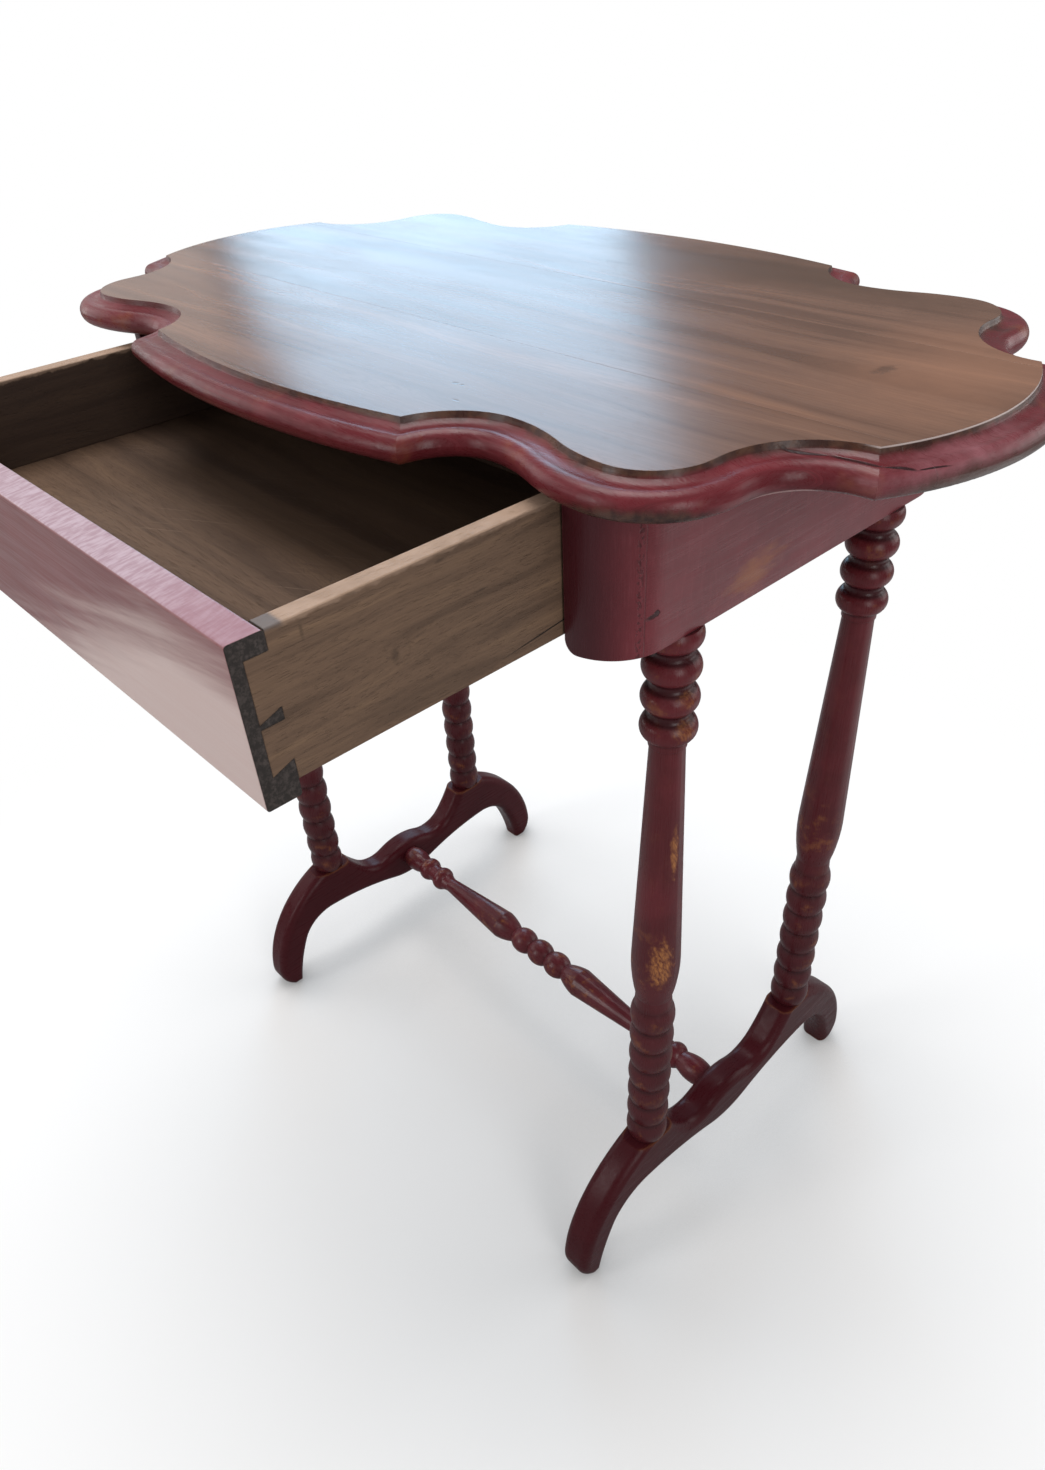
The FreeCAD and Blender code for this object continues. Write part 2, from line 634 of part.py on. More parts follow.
node(cut("DrawerFront", drawer_front, list(drawer_sides.values()) + [drawer_bottom]), "drawer_front")
for side, body in drawer_sides.items():
    side_nails = [item for item in back_nails if side in item.Name]
    node(cut(f"drawer_{side}_grooved", body, [drawer_bottom, drawer_back] + side_nails),
         f"drawer_side_{side}")
node(cut("DrawerBottom", drawer_bottom, bottom_nails), "drawer_bottom")
node(cut("DrawerBack", drawer_back, bottom_nails + back_nails), "drawer_back")


# Turned work: legs and stretcher, each a solid turned about its own axis.
class Turning:
    """The half outline of a turned piece, drawn as radius and distance along the axis."""

    def __init__(self, radius, along):
        self.edges = [line((0, along), (radius, along))]
        self.end = (radius, along)

    def straight(self, radius, along):
        if math.dist(self.end, (radius, along)) > NEAR:
            self.edges.append(line(self.end, (radius, along)))
        self.end = (radius, along)

    def curve(self, middle, end):
        self.edges.append(arc_through(self.end, middle, end))
        self.end = end

    def closed(self):
        far = (0, self.end[1])
        start = (0, self.edges[0].StartPoint.y)
        return self.edges + [line(self.end, far), line(far, start)]


def turned_body(name, edges):
    """A body turned about its own Z axis."""
    body = doc.addObject("PartDesign::Body", name)
    sketch = body_sketch(body, name + "_outline", "XZ_Plane", edges)
    revolution = body.newObject("PartDesign::Revolution", name + "_turned")
    revolution.Profile = sketch
    revolution.ReferenceAxis = (sketch, ["V_Axis"])
    revolution.Angle = 360
    return body


SPOOL_BEADS = 7
LEG_RINGS = 4


def leg_outline():
    """From the lower tenon up: spool, neck, inverted vase, collar, rings and upper tenon."""
    length = value("case_bottom") - value("leg_seat")
    pitch = value("spool_pitch")
    turning = Turning(value("lower_tenon_radius"), -value("lower_tenon_length"))
    turning.straight(value("lower_tenon_radius"), 0)
    turning.straight(value("spool_hollow_radius"), 0)
    for bead in range(SPOOL_BEADS):
        turning.curve((value("spool_radius"), (bead + 0.5) * pitch),
                      (value("spool_hollow_radius"), (bead + 1) * pitch))
    spool = SPOOL_BEADS * pitch
    turning.straight(value("neck_radius"), spool + value("neck_lift"))
    turning.curve((value("shoulder_radius"), spool + value("shoulder_turn")),
                  (value("shaft_radius"), spool + value("shoulder_lift")))
    lowest_ring = length - value("ring_first") - (LEG_RINGS - 1) * value("ring_pitch")
    half = value("ring_half_height")
    collar = lowest_ring - half - value("collar_height")
    turning.straight(value("shaft_top_radius"), collar)
    turning.straight(value("collar_radius"), collar)
    turning.straight(value("collar_radius"), lowest_ring - half)
    turning.straight(value("ring_edge_radius"), lowest_ring - half)
    sag = value("ring_radius") - value("ring_edge_radius")
    ring_curve = (half ** 2 + sag ** 2) / (2 * sag)
    for ring in range(LEG_RINGS):
        middle = lowest_ring + ring * value("ring_pitch")
        if middle + half < length:
            turning.curve((value("ring_radius"), middle), (value("ring_edge_radius"), middle + half))
            hollow = middle + value("ring_pitch") / 2
            turning.curve((value("ring_hollow_radius"), hollow),
                          (value("ring_edge_radius"), middle + value("ring_pitch") - half))
        else:
            rise = length - middle
            shoulder = value("ring_radius") - ring_curve + math.sqrt(ring_curve ** 2 - rise ** 2)
            turning.curve((value("ring_radius"), middle), (shoulder, length))
    turning.straight(value("upper_tenon_radius"), length)
    turning.straight(value("upper_tenon_radius"), length + value("upper_tenon_length"))
    return turning.closed()


for side, sign in SIDES:
    for end, end_sign in ENDS:
        leg = turned_body(f"Leg{end.title()}{side.title()}", leg_outline())
        place(leg, f"{sign} * leg_x", f"{end_sign} * leg_y", "leg_seat")
        node(leg, f"leg_{end}_{side}")


def stretcher_outline():
    """From one foot to the other: barrel, two rings, vase, three beads and the same again."""
    half = value("foot_inner")
    pitch = value("middle_bead_pitch")
    bead_edge = 1.5 * pitch
    ring_edge = value("end_ring_edge_radius")
    ring_half = value("end_ring_half")
    barrel = half - value("barrel_length")
    second_ring = barrel - value("end_ring_pitch") / 2
    first_ring = second_ring - value("end_ring_pitch")
    vase_end = first_ring - (value("end_ring_pitch") + ring_half) / 2
    turning = Turning(value("stretcher_tenon_radius"), -half - value("stretcher_tenon_length"))
    turning.straight(value("stretcher_tenon_radius"), -half)
    turning.straight(value("barrel_end_radius"), -half)
    turning.curve((value("barrel_radius"), -(half + barrel) / 2), (value("barrel_end_radius"), -barrel))
    for ring in (second_ring, first_ring):
        turning.straight(ring_edge, -ring - ring_half)
        turning.curve((value("end_ring_radius"), -ring), (ring_edge, -ring + ring_half))
    turning.straight(value("vase_end_radius"), -vase_end)
    turning.straight(value("vase_radius"), -value("vase_thick_x"))
    swell = value("vase_swell_radius")
    turning.curve((swell, -value("vase_swell_x")), (value("middle_hollow_radius"), -bead_edge))
    for bead in (-1, 0, 1):
        turning.curve((value("middle_bead_radius"), bead * pitch),
                      (value("middle_hollow_radius"), (bead + 0.5) * pitch))
    turning.curve((swell, value("vase_swell_x")), (value("vase_radius"), value("vase_thick_x")))
    turning.straight(value("vase_end_radius"), vase_end)
    for ring in (first_ring, second_ring):
        turning.straight(ring_edge, ring - ring_half)
        turning.curve((value("end_ring_radius"), ring), (ring_edge, ring + ring_half))
    turning.straight(value("barrel_end_radius"), barrel)
    turning.curve((value("barrel_radius"), (half + barrel) / 2), (value("barrel_end_radius"), half))
    turning.straight(value("stretcher_tenon_radius"), half)
    turning.straight(value("stretcher_tenon_radius"), half + value("stretcher_tenon_length"))
    return turning.closed()


stretcher = turned_body("Stretcher", stretcher_outline())
stretcher.Placement.Rotation = FreeCAD.Rotation(Z_AXIS, X_AXIS)
place(stretcher, "0", "0", "stretcher_height")
node(stretcher, "stretcher")


# Trestle feet: sawn arches with flat leg pads, a boss for the stretcher and rounded edges.
def foot_profile():
    """The foot seen along X: half of the outline and its mirror image."""
    boss_end = (value("boss_half"), value("boss_edge"))
    dip_end = (value("dip_end_y"), value("dip_end"))
    pad_inner = (value("pad_inner_y"), value("leg_seat"))
    pad_outer = (value("pad_outer_y"), value("leg_seat"))
    tip = (value("foot_half_length"), value("toe_back"))
    sole_outer = (value("toe_half"), 0)
    sole_inner = (value("toe_inner"), 0)
    haunch = (value("haunch_y"), value("haunch"))
    arch = (value("arch_y"), value("arch_top"))
    belly = (value("belly_half"), value("belly_edge"))
    upper, upper_slope = tangent_chain((0, value("boss_top")), 0, [boss_end, dip_end, pad_inner])
    heel, heel_slope = tangent_chain(pad_outer, -value("heel_slope"), [tip, sole_outer])
    lower, lower_slope = tangent_chain(sole_inner, 180 - value("arch_slope"), [haunch, arch, belly])
    sag = value("belly_half") * math.tan(math.radians(lower_slope - 180) / 2)
    under, under_slope = tangent_chain(belly, lower_slope, [(0, value("belly_edge") - sag)])
    pad_line = line(pad_inner, pad_outer)
    sole_line = line(sole_outer, sole_inner)
    return mirrored(upper + [pad_line] + heel + [sole_line] + lower + under)


for side, sign in SIDES:
    name = f"Foot{side.title()}"
    sketch = doc.addObject("Sketcher::SketchObject", name + "_profile")
    sketch.addGeometry(foot_profile(), False)
    sketch.Placement.Rotation = FreeCAD.Rotation(Y_AXIS, Z_AXIS, X_AXIS, "XYZ")
    place(sketch, f"{sign} * leg_x - foot_thickness / 2", "0", "0")
    blank = extrusion(name + "_sawn", sketch, "foot_thickness")
    eased = rounded(name + "_eased", blank, "foot_edge_round",
                    lambda box: box.XLength < NEAR and box.ZMin < value("leg_seat") - NEAR)
    mortises = [rod(f"{side}_{end}_foot_mortise", "lower_tenon_radius + mortise_gap",
                    "lower_tenon_length + mortise_spare", f"{sign} * leg_x", f"{end_sign} * leg_y",
                    "leg_seat", -Z_AXIS) for end, end_sign in ENDS]
    mortises.append(rod(f"{side}_stretcher_mortise", "stretcher_tenon_radius + mortise_gap",
                        "stretcher_tenon_length + mortise_spare", f"{sign} * foot_inner", "0",
                        "stretcher_height", X_AXIS * sign))
    node(cut(f"{name}_bored", eased, mortises), f"trestle_foot_{side}")

doc.recompute()
faults = [item.Name for item in doc.Objects if "Invalid" in item.State or "Error" in item.State]
for piece in nodes:
    if piece.Shape.isNull() or not piece.Shape.isValid():
        faults.append(piece.Label)
if faults:
    raise RuntimeError("not sound: " + ", ".join(faults))

os.makedirs("parts", exist_ok=True)
for piece in nodes:
    piece.Shape.exportStep(f"parts/{piece.Label}.step")
    print(f"{piece.Label}: {len(piece.Shape.Solids)} solid(s), {piece.Shape.Volume:.0f} cubic mm")
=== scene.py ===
import math

import bmesh
import bpy
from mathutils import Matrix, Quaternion, Vector


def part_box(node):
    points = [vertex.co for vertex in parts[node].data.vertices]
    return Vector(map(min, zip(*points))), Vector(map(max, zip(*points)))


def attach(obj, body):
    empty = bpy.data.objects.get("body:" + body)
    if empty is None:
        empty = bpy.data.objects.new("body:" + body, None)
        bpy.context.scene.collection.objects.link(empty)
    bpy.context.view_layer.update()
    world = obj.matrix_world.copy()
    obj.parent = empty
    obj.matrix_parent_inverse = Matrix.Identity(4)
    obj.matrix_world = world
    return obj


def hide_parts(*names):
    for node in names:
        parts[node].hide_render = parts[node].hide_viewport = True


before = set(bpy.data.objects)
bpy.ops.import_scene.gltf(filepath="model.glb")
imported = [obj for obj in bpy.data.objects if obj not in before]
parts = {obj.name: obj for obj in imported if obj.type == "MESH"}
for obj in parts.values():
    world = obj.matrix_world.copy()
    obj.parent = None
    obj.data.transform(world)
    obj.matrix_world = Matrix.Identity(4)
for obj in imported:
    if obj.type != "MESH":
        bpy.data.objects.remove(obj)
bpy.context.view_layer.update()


# Trestle feet: sawn arches of beech, their edges rounded over, brushed with satin burgundy paint.
# The paint is thin, so the strokes show, and hard edges are rubbed through to the wood below.
def colour(red, green, blue):
    """A colour mixed on screen, from 0 to 255, as the light values that the finishes use."""
    shares = [level / 255 for level in (red, green, blue)]
    return tuple(s / 12.92 if s <= 0.04045 else ((s + 0.055) / 1.055) ** 2.4 for s in shares) + (1.0,)


def join(tree, source, socket):
    """Gives a socket a fixed value, or a line from another socket."""
    if isinstance(source, bpy.types.NodeSocket):
        tree.links.new(source, socket)
    else:
        socket.default_value = source


def add(tree, kind, sockets, **settings):
    """A shader node with its settings made and its sockets filled."""
    made = tree.nodes.new("ShaderNode" + kind)
    for name, setting in settings.items():
        setattr(made, name, setting)
    for name, source in sockets.items():
        join(tree, source, made.inputs[name])
    return made


def sums(tree, operation, *values):
    """One step of arithmetic."""
    return add(tree, "Math", dict(enumerate(values)), operation=operation).outputs[0]


def times(tree, first, *others):
    """Values multiplied together."""
    for other in others:
        first = sums(tree, "MULTIPLY", first, other)
    return first


def largest(tree, first, *others):
    """The largest of several values."""
    for other in others:
        first = sums(tree, "MAXIMUM", first, other)
    return first


def distance(tree, value, mark):
    """How far a value is from a mark, to either side."""
    return sums(tree, "ABSOLUTE", sums(tree, "SUBTRACT", value, mark))


def ramp(tree, value, start, end, low=0.0, high=1.0):
    """A soft step from low to high while a value goes from start to end."""
    sockets = {"Value": value, "From Min": start, "From Max": end, "To Min": low, "To Max": high}
    return add(tree, "MapRange", sockets, interpolation_type="SMOOTHSTEP").outputs["Result"]


def mixed(tree, share, first, second):
    """Two colours mixed by a share of the second."""
    made = add(tree, "Mix", {}, data_type="RGBA")
    join(tree, share, made.inputs[0])
    join(tree, first, made.inputs[6])
    join(tree, second, made.inputs[7])
    return made.outputs[2]


def stained(tree, tone, mask, share, stain):
    """A colour with a share of a second one laid over it where a mask is full."""
    return mixed(tree, times(tree, mask, share), tone, stain)


def axes(tree, vector):
    """The three parts of a vector."""
    return add(tree, "SeparateXYZ", {"Vector": vector}).outputs


def absolute(tree, vector):
    """A vector with its signs dropped, for pieces that are alike on both sides."""
    return add(tree, "VectorMath", {0: vector}, operation="ABSOLUTE").outputs[0]


def length_of(tree, vector, kept):
    """The length of a vector along the axes that are kept."""
    flat = add(tree, "VectorMath", {0: vector, 1: kept}, operation="MULTIPLY").outputs[0]
    return add(tree, "VectorMath", {0: flat}, operation="LENGTH").outputs["Value"]


def normal_of(tree):
    """The way that a surface faces, before anything is raised on it."""
    return add(tree, "NewGeometry", {}).outputs["Normal"]


def mapped(tree, source, centre=(0, 0, 0), turn=(0, 0, 0), stretch=(1, 1, 1)):
    """Places measured from a centre along turned axes, in units of the stretch."""
    sockets = {"Vector": source, "Location": centre, "Rotation": turn}
    turned = add(tree, "Mapping", sockets, vector_type="TEXTURE").outputs[0]
    return add(tree, "VectorMath", {0: turned, 1: stretch}, operation="DIVIDE").outputs[0]


def mixed_places(tree, share, first, second):
    """One pattern's places or another's, by a share of the second."""
    made = add(tree, "Mix", {}, data_type="VECTOR")
    join(tree, share, made.inputs[0])
    join(tree, first, made.inputs[4])
    join(tree, second, made.inputs[5])
    return made.outputs[1]


def noise(tree, vector, scale, detail=2.0, roughness=0.5):
    """A cloudy value about one half."""
    sockets = {"Vector": vector, "Scale": scale, "Detail": detail, "Roughness": roughness}
    return add(tree, "TexNoise", sockets).outputs[0]


def streaky(tree, vector, size, detail=2.0, roughness=0.5, turn=(0, 0, 0)):
    """A cloudy value about one half, its clouds drawn out to a size along each turned axis."""
    return noise(tree, mapped(tree, vector, turn=turn, stretch=size), 1.0, detail, roughness)


def new_group(name, inputs, outputs):
    """A group of nodes with named sockets, and its two ends."""
    tree = bpy.data.node_groups.new(name, "ShaderNodeTree")
    for socket, kind, number in inputs:
        made = tree.interface.new_socket(socket, in_out="INPUT", socket_type="NodeSocket" + kind)
        if number is not None:
            made.default_value = number
    for socket in outputs:
        tree.interface.new_socket(socket, in_out="OUTPUT", socket_type="NodeSocketFloat")
    return tree, tree.nodes.new("NodeGroupInput").outputs, tree.nodes.new("NodeGroupOutput").inputs


def grouped(tree, group, **sockets):
    """A group placed in a finish with its own values."""
    made = add(tree, "Group", {}, node_tree=group)
    for name, source in sockets.items():
        join(tree, source, made.inputs[name])
    return made.outputs


def make_brush_strokes():
    """Streaks left along the first axis by a brush, and the cloudy cover of thin paint."""
    hair_size = (0.045, 0.0011, 0.0011)
    stroke_size = (0.09, 0.006, 0.006)
    tree, given, result = new_group("brush strokes", [("Along", "Vector", None)], ["Streak", "Cover"])
    hairs = streaky(tree, given["Along"], hair_size, detail=3.0, roughness=0.6)
    strokes = streaky(tree, given["Along"], stroke_size)
    join(tree, sums(tree, "ADD", times(tree, hairs, 0.6), times(tree, strokes, 0.4)), result["Streak"])
    join(tree, noise(tree, given["Along"], 22.0, detail=4.0, roughness=0.62), result["Cover"])
    return tree


def make_rubbed_edges():
    """Where hands and cloths have rubbed a finish off the edges of a piece, broken up by a noise."""
    wanted = [("Place", "Vector", None), ("Reach", "Float", 0.0015), ("Grain", "Float", 220.0),
              ("Wear", "Float", 0.5)]
    tree, given, result = new_group("rubbed edges", wanted, ["Edge", "Rubbed"])
    softened = add(tree, "Bevel", {"Radius": given["Reach"]}, samples=6).outputs[0]
    facing = add(tree, "VectorMath", {0: normal_of(tree), 1: softened}, operation="DOT_PRODUCT")
    edge = ramp(tree, facing.outputs["Value"], 0.995, 0.86)
    broken = noise(tree, given["Place"], given["Grain"], detail=4.0, roughness=0.65)
    large = noise(tree, given["Place"], 18.0)
    chance = sums(tree, "ADD", times(tree, broken, 0.55), times(tree, large, 0.45))
    level = sums(tree, "SUBTRACT", 0.86, times(tree, given["Wear"], 0.6))
    worn = sums(tree, "SUBTRACT", sums(tree, "ADD", chance, times(tree, edge, 0.3)), level)
    join(tree, edge, result["Edge"])
    join(tree, times(tree, edge, ramp(tree, worn, 0.0, 0.12)), result["Rubbed"])
    return tree


def make_worn_patch():
    """A patch of unit size about its centre, with a ragged rim, as hard as is asked."""
    wanted = [("Spot", "Vector", None), ("Place", "Vector", None), ("Ragged", "Float", 0.7),
              ("Grain", "Float", 180.0), ("Core", "Float", 0.7)]
    tree, given, result = new_group("worn patch", wanted, ["Patch"])
    far = length_of(tree, given["Spot"], (1, 1, 1))
    uneven = noise(tree, given["Place"], given["Grain"], detail=6.0, roughness=0.7)
    ragged = times(tree, sums(tree, "SUBTRACT", uneven, 0.5), given["Ragged"])
    join(tree, ramp(tree, sums(tree, "ADD", far, ragged), 1.0, given["Core"]), result["Patch"])
    return tree


brush_strokes = make_brush_strokes()
rubbed_edges = make_rubbed_edges()
worn_patch = make_worn_patch()

burgundy = colour(110, 42, 50)
deep_burgundy = colour(80, 28, 34)
faded_burgundy = colour(136, 70, 77)
wood_under_paint = colour(150, 94, 54)
dark_wood_under_paint = colour(58, 40, 33)
# A dark burgundy used for painted shade.
shade_burgundy = colour(46, 16, 21)
satin = 0.32
along_depth = (0, 0, math.pi / 2)
upright = (0, math.pi / 2, 0)


def patch_at(tree, place, centre, size, turn=(0, 0, 0), ragged=0.7, grain=180.0, core=0.7):
    """A ragged patch of a given size at a place."""
    spot = mapped(tree, place, centre, turn, size)
    sockets = {"Spot": spot, "Place": place, "Ragged": ragged, "Grain": grain, "Core": core}
    return grouped(tree, worn_patch, **sockets)["Patch"]


def painted(tree, along):
    """Burgundy with the tones of its strokes: its colour, its roughness and the height of the strokes."""
    strokes = grouped(tree, brush_strokes, Along=along)
    tone = mixed(tree, ramp(tree, strokes["Cover"], 0.36, 0.66), deep_burgundy, burgundy)
    pale = ramp(tree, strokes["Streak"], 0.5, 0.74, 0.0, 0.5)
    gloss = ramp(tree, strokes["Streak"], 0.35, 0.7, satin - 0.08, satin + 0.12)
    return mixed(tree, pale, tone, faded_burgundy), gloss, strokes["Streak"]


def shaded_towards_floor(tree, tone, place):
    """Paint darkened by painted shade towards the floor."""
    unshaded_height = 0.58
    shaded_height = 0.12
    low_shade = ramp(tree, axes(tree, place)["Z"], unshaded_height, shaded_height)
    return stained(tree, tone, low_shade, 0.65, shade_burgundy)


def raised(tree, height, depth, edge_round):
    """Surface normals with a pattern raised on them and edges softened."""
    soft = add(tree, "Bevel", {"Radius": edge_round}, samples=4).outputs[0]
    sockets = {"Height": height, "Distance": depth, "Strength": 0.7, "Normal": soft}
    return add(tree, "Bump", sockets).outputs[0]


def new_finish(name):
    """An empty finish, its tree, and the places on the table that its patterns use."""
    material = bpy.data.materials.new(name)
    material.use_nodes = True
    tree = material.node_tree
    return material, tree, add(tree, "TexCoord", {}).outputs["Object"]


def settle(material, tone, gloss, normals, shine=0.5):
    """Fills the surface of a finish with its colour, roughness, normals and strength of shine."""
    tree = material.node_tree
    surface = tree.nodes["Principled BSDF"].inputs
    join(tree, tone, surface["Base Color"])
    join(tree, gloss, surface["Roughness"])
    join(tree, normals, surface["Normal"])
    surface["Specular IOR Level"].default_value = shine
    return material


def dress(material, *names):
    """Gives nodes of the model their finish."""
    for name in names:
        parts[name].data.materials.clear()
        parts[name].data.materials.append(material)


def finish_feet():
    """Dark burgundy with painted shade towards the floor, rubbed along the edges and scuffed to the wood at
    the toes.
    """
    foot_burgundy = colour(86, 22, 28)
    scuffed_height = 0.045
    material, tree, place = new_finish("foot_paint")
    tone, gloss, height = painted(tree, mapped(tree, place, turn=along_depth))
    # Painted shade: the paint is darkened towards the floor.
    tone = shaded_towards_floor(tree, mixed(tree, 0.65, tone, foot_burgundy), place)
    rubbed = grouped(tree, rubbed_edges, Place=place, Reach=0.006, Wear=0.42)["Rubbed"]
    tone = stained(tree, tone, rubbed, 0.4, wood_under_paint)
    low = ramp(tree, axes(tree, place)["Z"], scuffed_height, 0.0)
    scuffs = ramp(tree, noise(tree, place, 90.0, detail=5.0, roughness=0.7), 0.52, 0.68)
    tone = stained(tree, tone, times(tree, low, scuffs), 0.6, dark_wood_under_paint)
    normals = raised(tree, height, depth=0.00025, edge_round=0.002)
    return settle(material, tone, gloss, normals, shine=0.15)


dress(finish_feet(), "trestle_foot_left", "trestle_foot_right")


# Stretcher: one turned bar, beads in its middle and a vase to each side, tenoned into the feet.
# Painted with the feet, rubbed bare on the crests of its beads and rings.
def finish_stretcher():
    """Burgundy that is broken through to the wood on the thickest places."""
    low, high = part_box("stretcher")
    axis_height = (low.z + high.z) / 2
    crest = high.z - axis_height
    rubbed_from = crest - 0.0045
    rubbed_full = crest - 0.0015
    material, tree, place = new_finish("stretcher_paint")
    tone, gloss, height = painted(tree, place)
    tone = mixed(tree, 0.5, tone, deep_burgundy)
    reach = length_of(tree, mapped(tree, place, centre=(0, 0, axis_height)), (0, 1, 1))
    on_crest = ramp(tree, reach, rubbed_from, rubbed_full)
    broken = ramp(tree, noise(tree, place, 120.0, detail=5.0, roughness=0.7), 0.5, 0.66)
    tone = stained(tree, tone, times(tree, on_crest, broken), 0.5, wood_under_paint)
    normals = raised(tree, height, depth=0.0002, edge_round=0.0006)
    return settle(material, tone, gloss, normals, shine=0.36)


dress(finish_stretcher(), "stretcher")


# Legs: four alike, turned with rings, an inverted vase and a spool of beads, tenoned at both ends.
# The hollows and narrow places of the turning and its lower parts carry painted shade, and the crests are
# rubbed; one leg has bare patches on its shaft and on two of its rings.
def finish_legs():
    """Burgundy by the radius of the turning, with painted shade in the hollows, the narrow places and
    towards the floor, rubbed crests and bare patches.
    """
    low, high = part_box("leg_front_right")
    axis = ((low.x + high.x) / 2, -(low.y + high.y) / 2, 0)
    spool_top = 0.30
    rings_bottom = 0.537
    shaded_slender_radii = (0.0150, 0.0132)
    shaded_hollow_radii = (0.0158, 0.0136)
    crest_radii = (0.0156, 0.0170)
    bare_patches = (
        ((0.2465, -0.1105, 0.352), (0.010, 0.011, 0.030), 1.0),
        ((0.2465, -0.1035, 0.455), (0.005, 0.0035, 0.026), 1.0),
        ((0.2497, -0.1040, 0.549), (0.009, 0.010, 0.008), 0.5),
        ((0.2495, -0.1030, 0.570), (0.008, 0.009, 0.006), 0.4),
    )
    scratch_size = (0.0016, 0.0016, 0.011)
    scratch_lean = (0.35, 0, 0)
    leg_burgundy = colour(98, 31, 36)
    bared_dark = colour(112, 62, 44)
    bared_pale = colour(176, 116, 66)
    material, tree, place = new_finish("leg_paint")
    tone, gloss, height = painted(tree, mapped(tree, place, turn=upright))
    tone = mixed(tree, 0.5, tone, leg_burgundy)

    reach = length_of(tree, mapped(tree, absolute(tree, place), centre=axis), (1, 1, 0))
    # Painted shade: the narrow places of the turning are darker.
    tone = stained(tree, tone, ramp(tree, reach, *shaded_slender_radii), 0.15, deep_burgundy)
    height_up = axes(tree, place)["Z"]
    in_spool = ramp(tree, height_up, spool_top, spool_top - 0.01)
    in_rings = ramp(tree, height_up, rings_bottom - 0.003, rings_bottom + 0.001)
    # Painted shade: the hollows of the spool and the rings are dark, and the paint is darker towards the
    # floor.
    hollow_shade = times(tree, largest(tree, in_spool, in_rings), ramp(tree, reach, *shaded_hollow_radii))
    tone = shaded_towards_floor(tree, stained(tree, tone, hollow_shade, 0.78, shade_burgundy), place)

    on_crest = ramp(tree, reach, *crest_radii, 0.12, 1.0)
    broken = ramp(tree, noise(tree, place, 62.0, detail=6.0, roughness=0.72), 0.52, 0.68)
    tone = stained(tree, tone, times(tree, on_crest, broken), 0.42, wood_under_paint)
    scratch = streaky(tree, place, scratch_size, detail=4.0, roughness=0.7, turn=scratch_lean)
    bared = mixed(tree, ramp(tree, scratch, 0.35, 0.65), bared_dark, bared_pale)
    scratched = ramp(tree, scratch, 0.25, 0.6, 0.35, 0.95)
    for centre, size, share in bare_patches:
        patch = patch_at(tree, place, centre, size, ragged=1.7, grain=170.0, core=0.35)
        tone = stained(tree, tone, times(tree, patch, share), scratched, bared)
    normals = raised(tree, height, depth=0.0002, edge_round=0.0008)
    return settle(material, tone, gloss, normals, shine=0.3)


dress(finish_legs(), "leg_front_left", "leg_front_right", "leg_rear_left", "leg_rear_right")


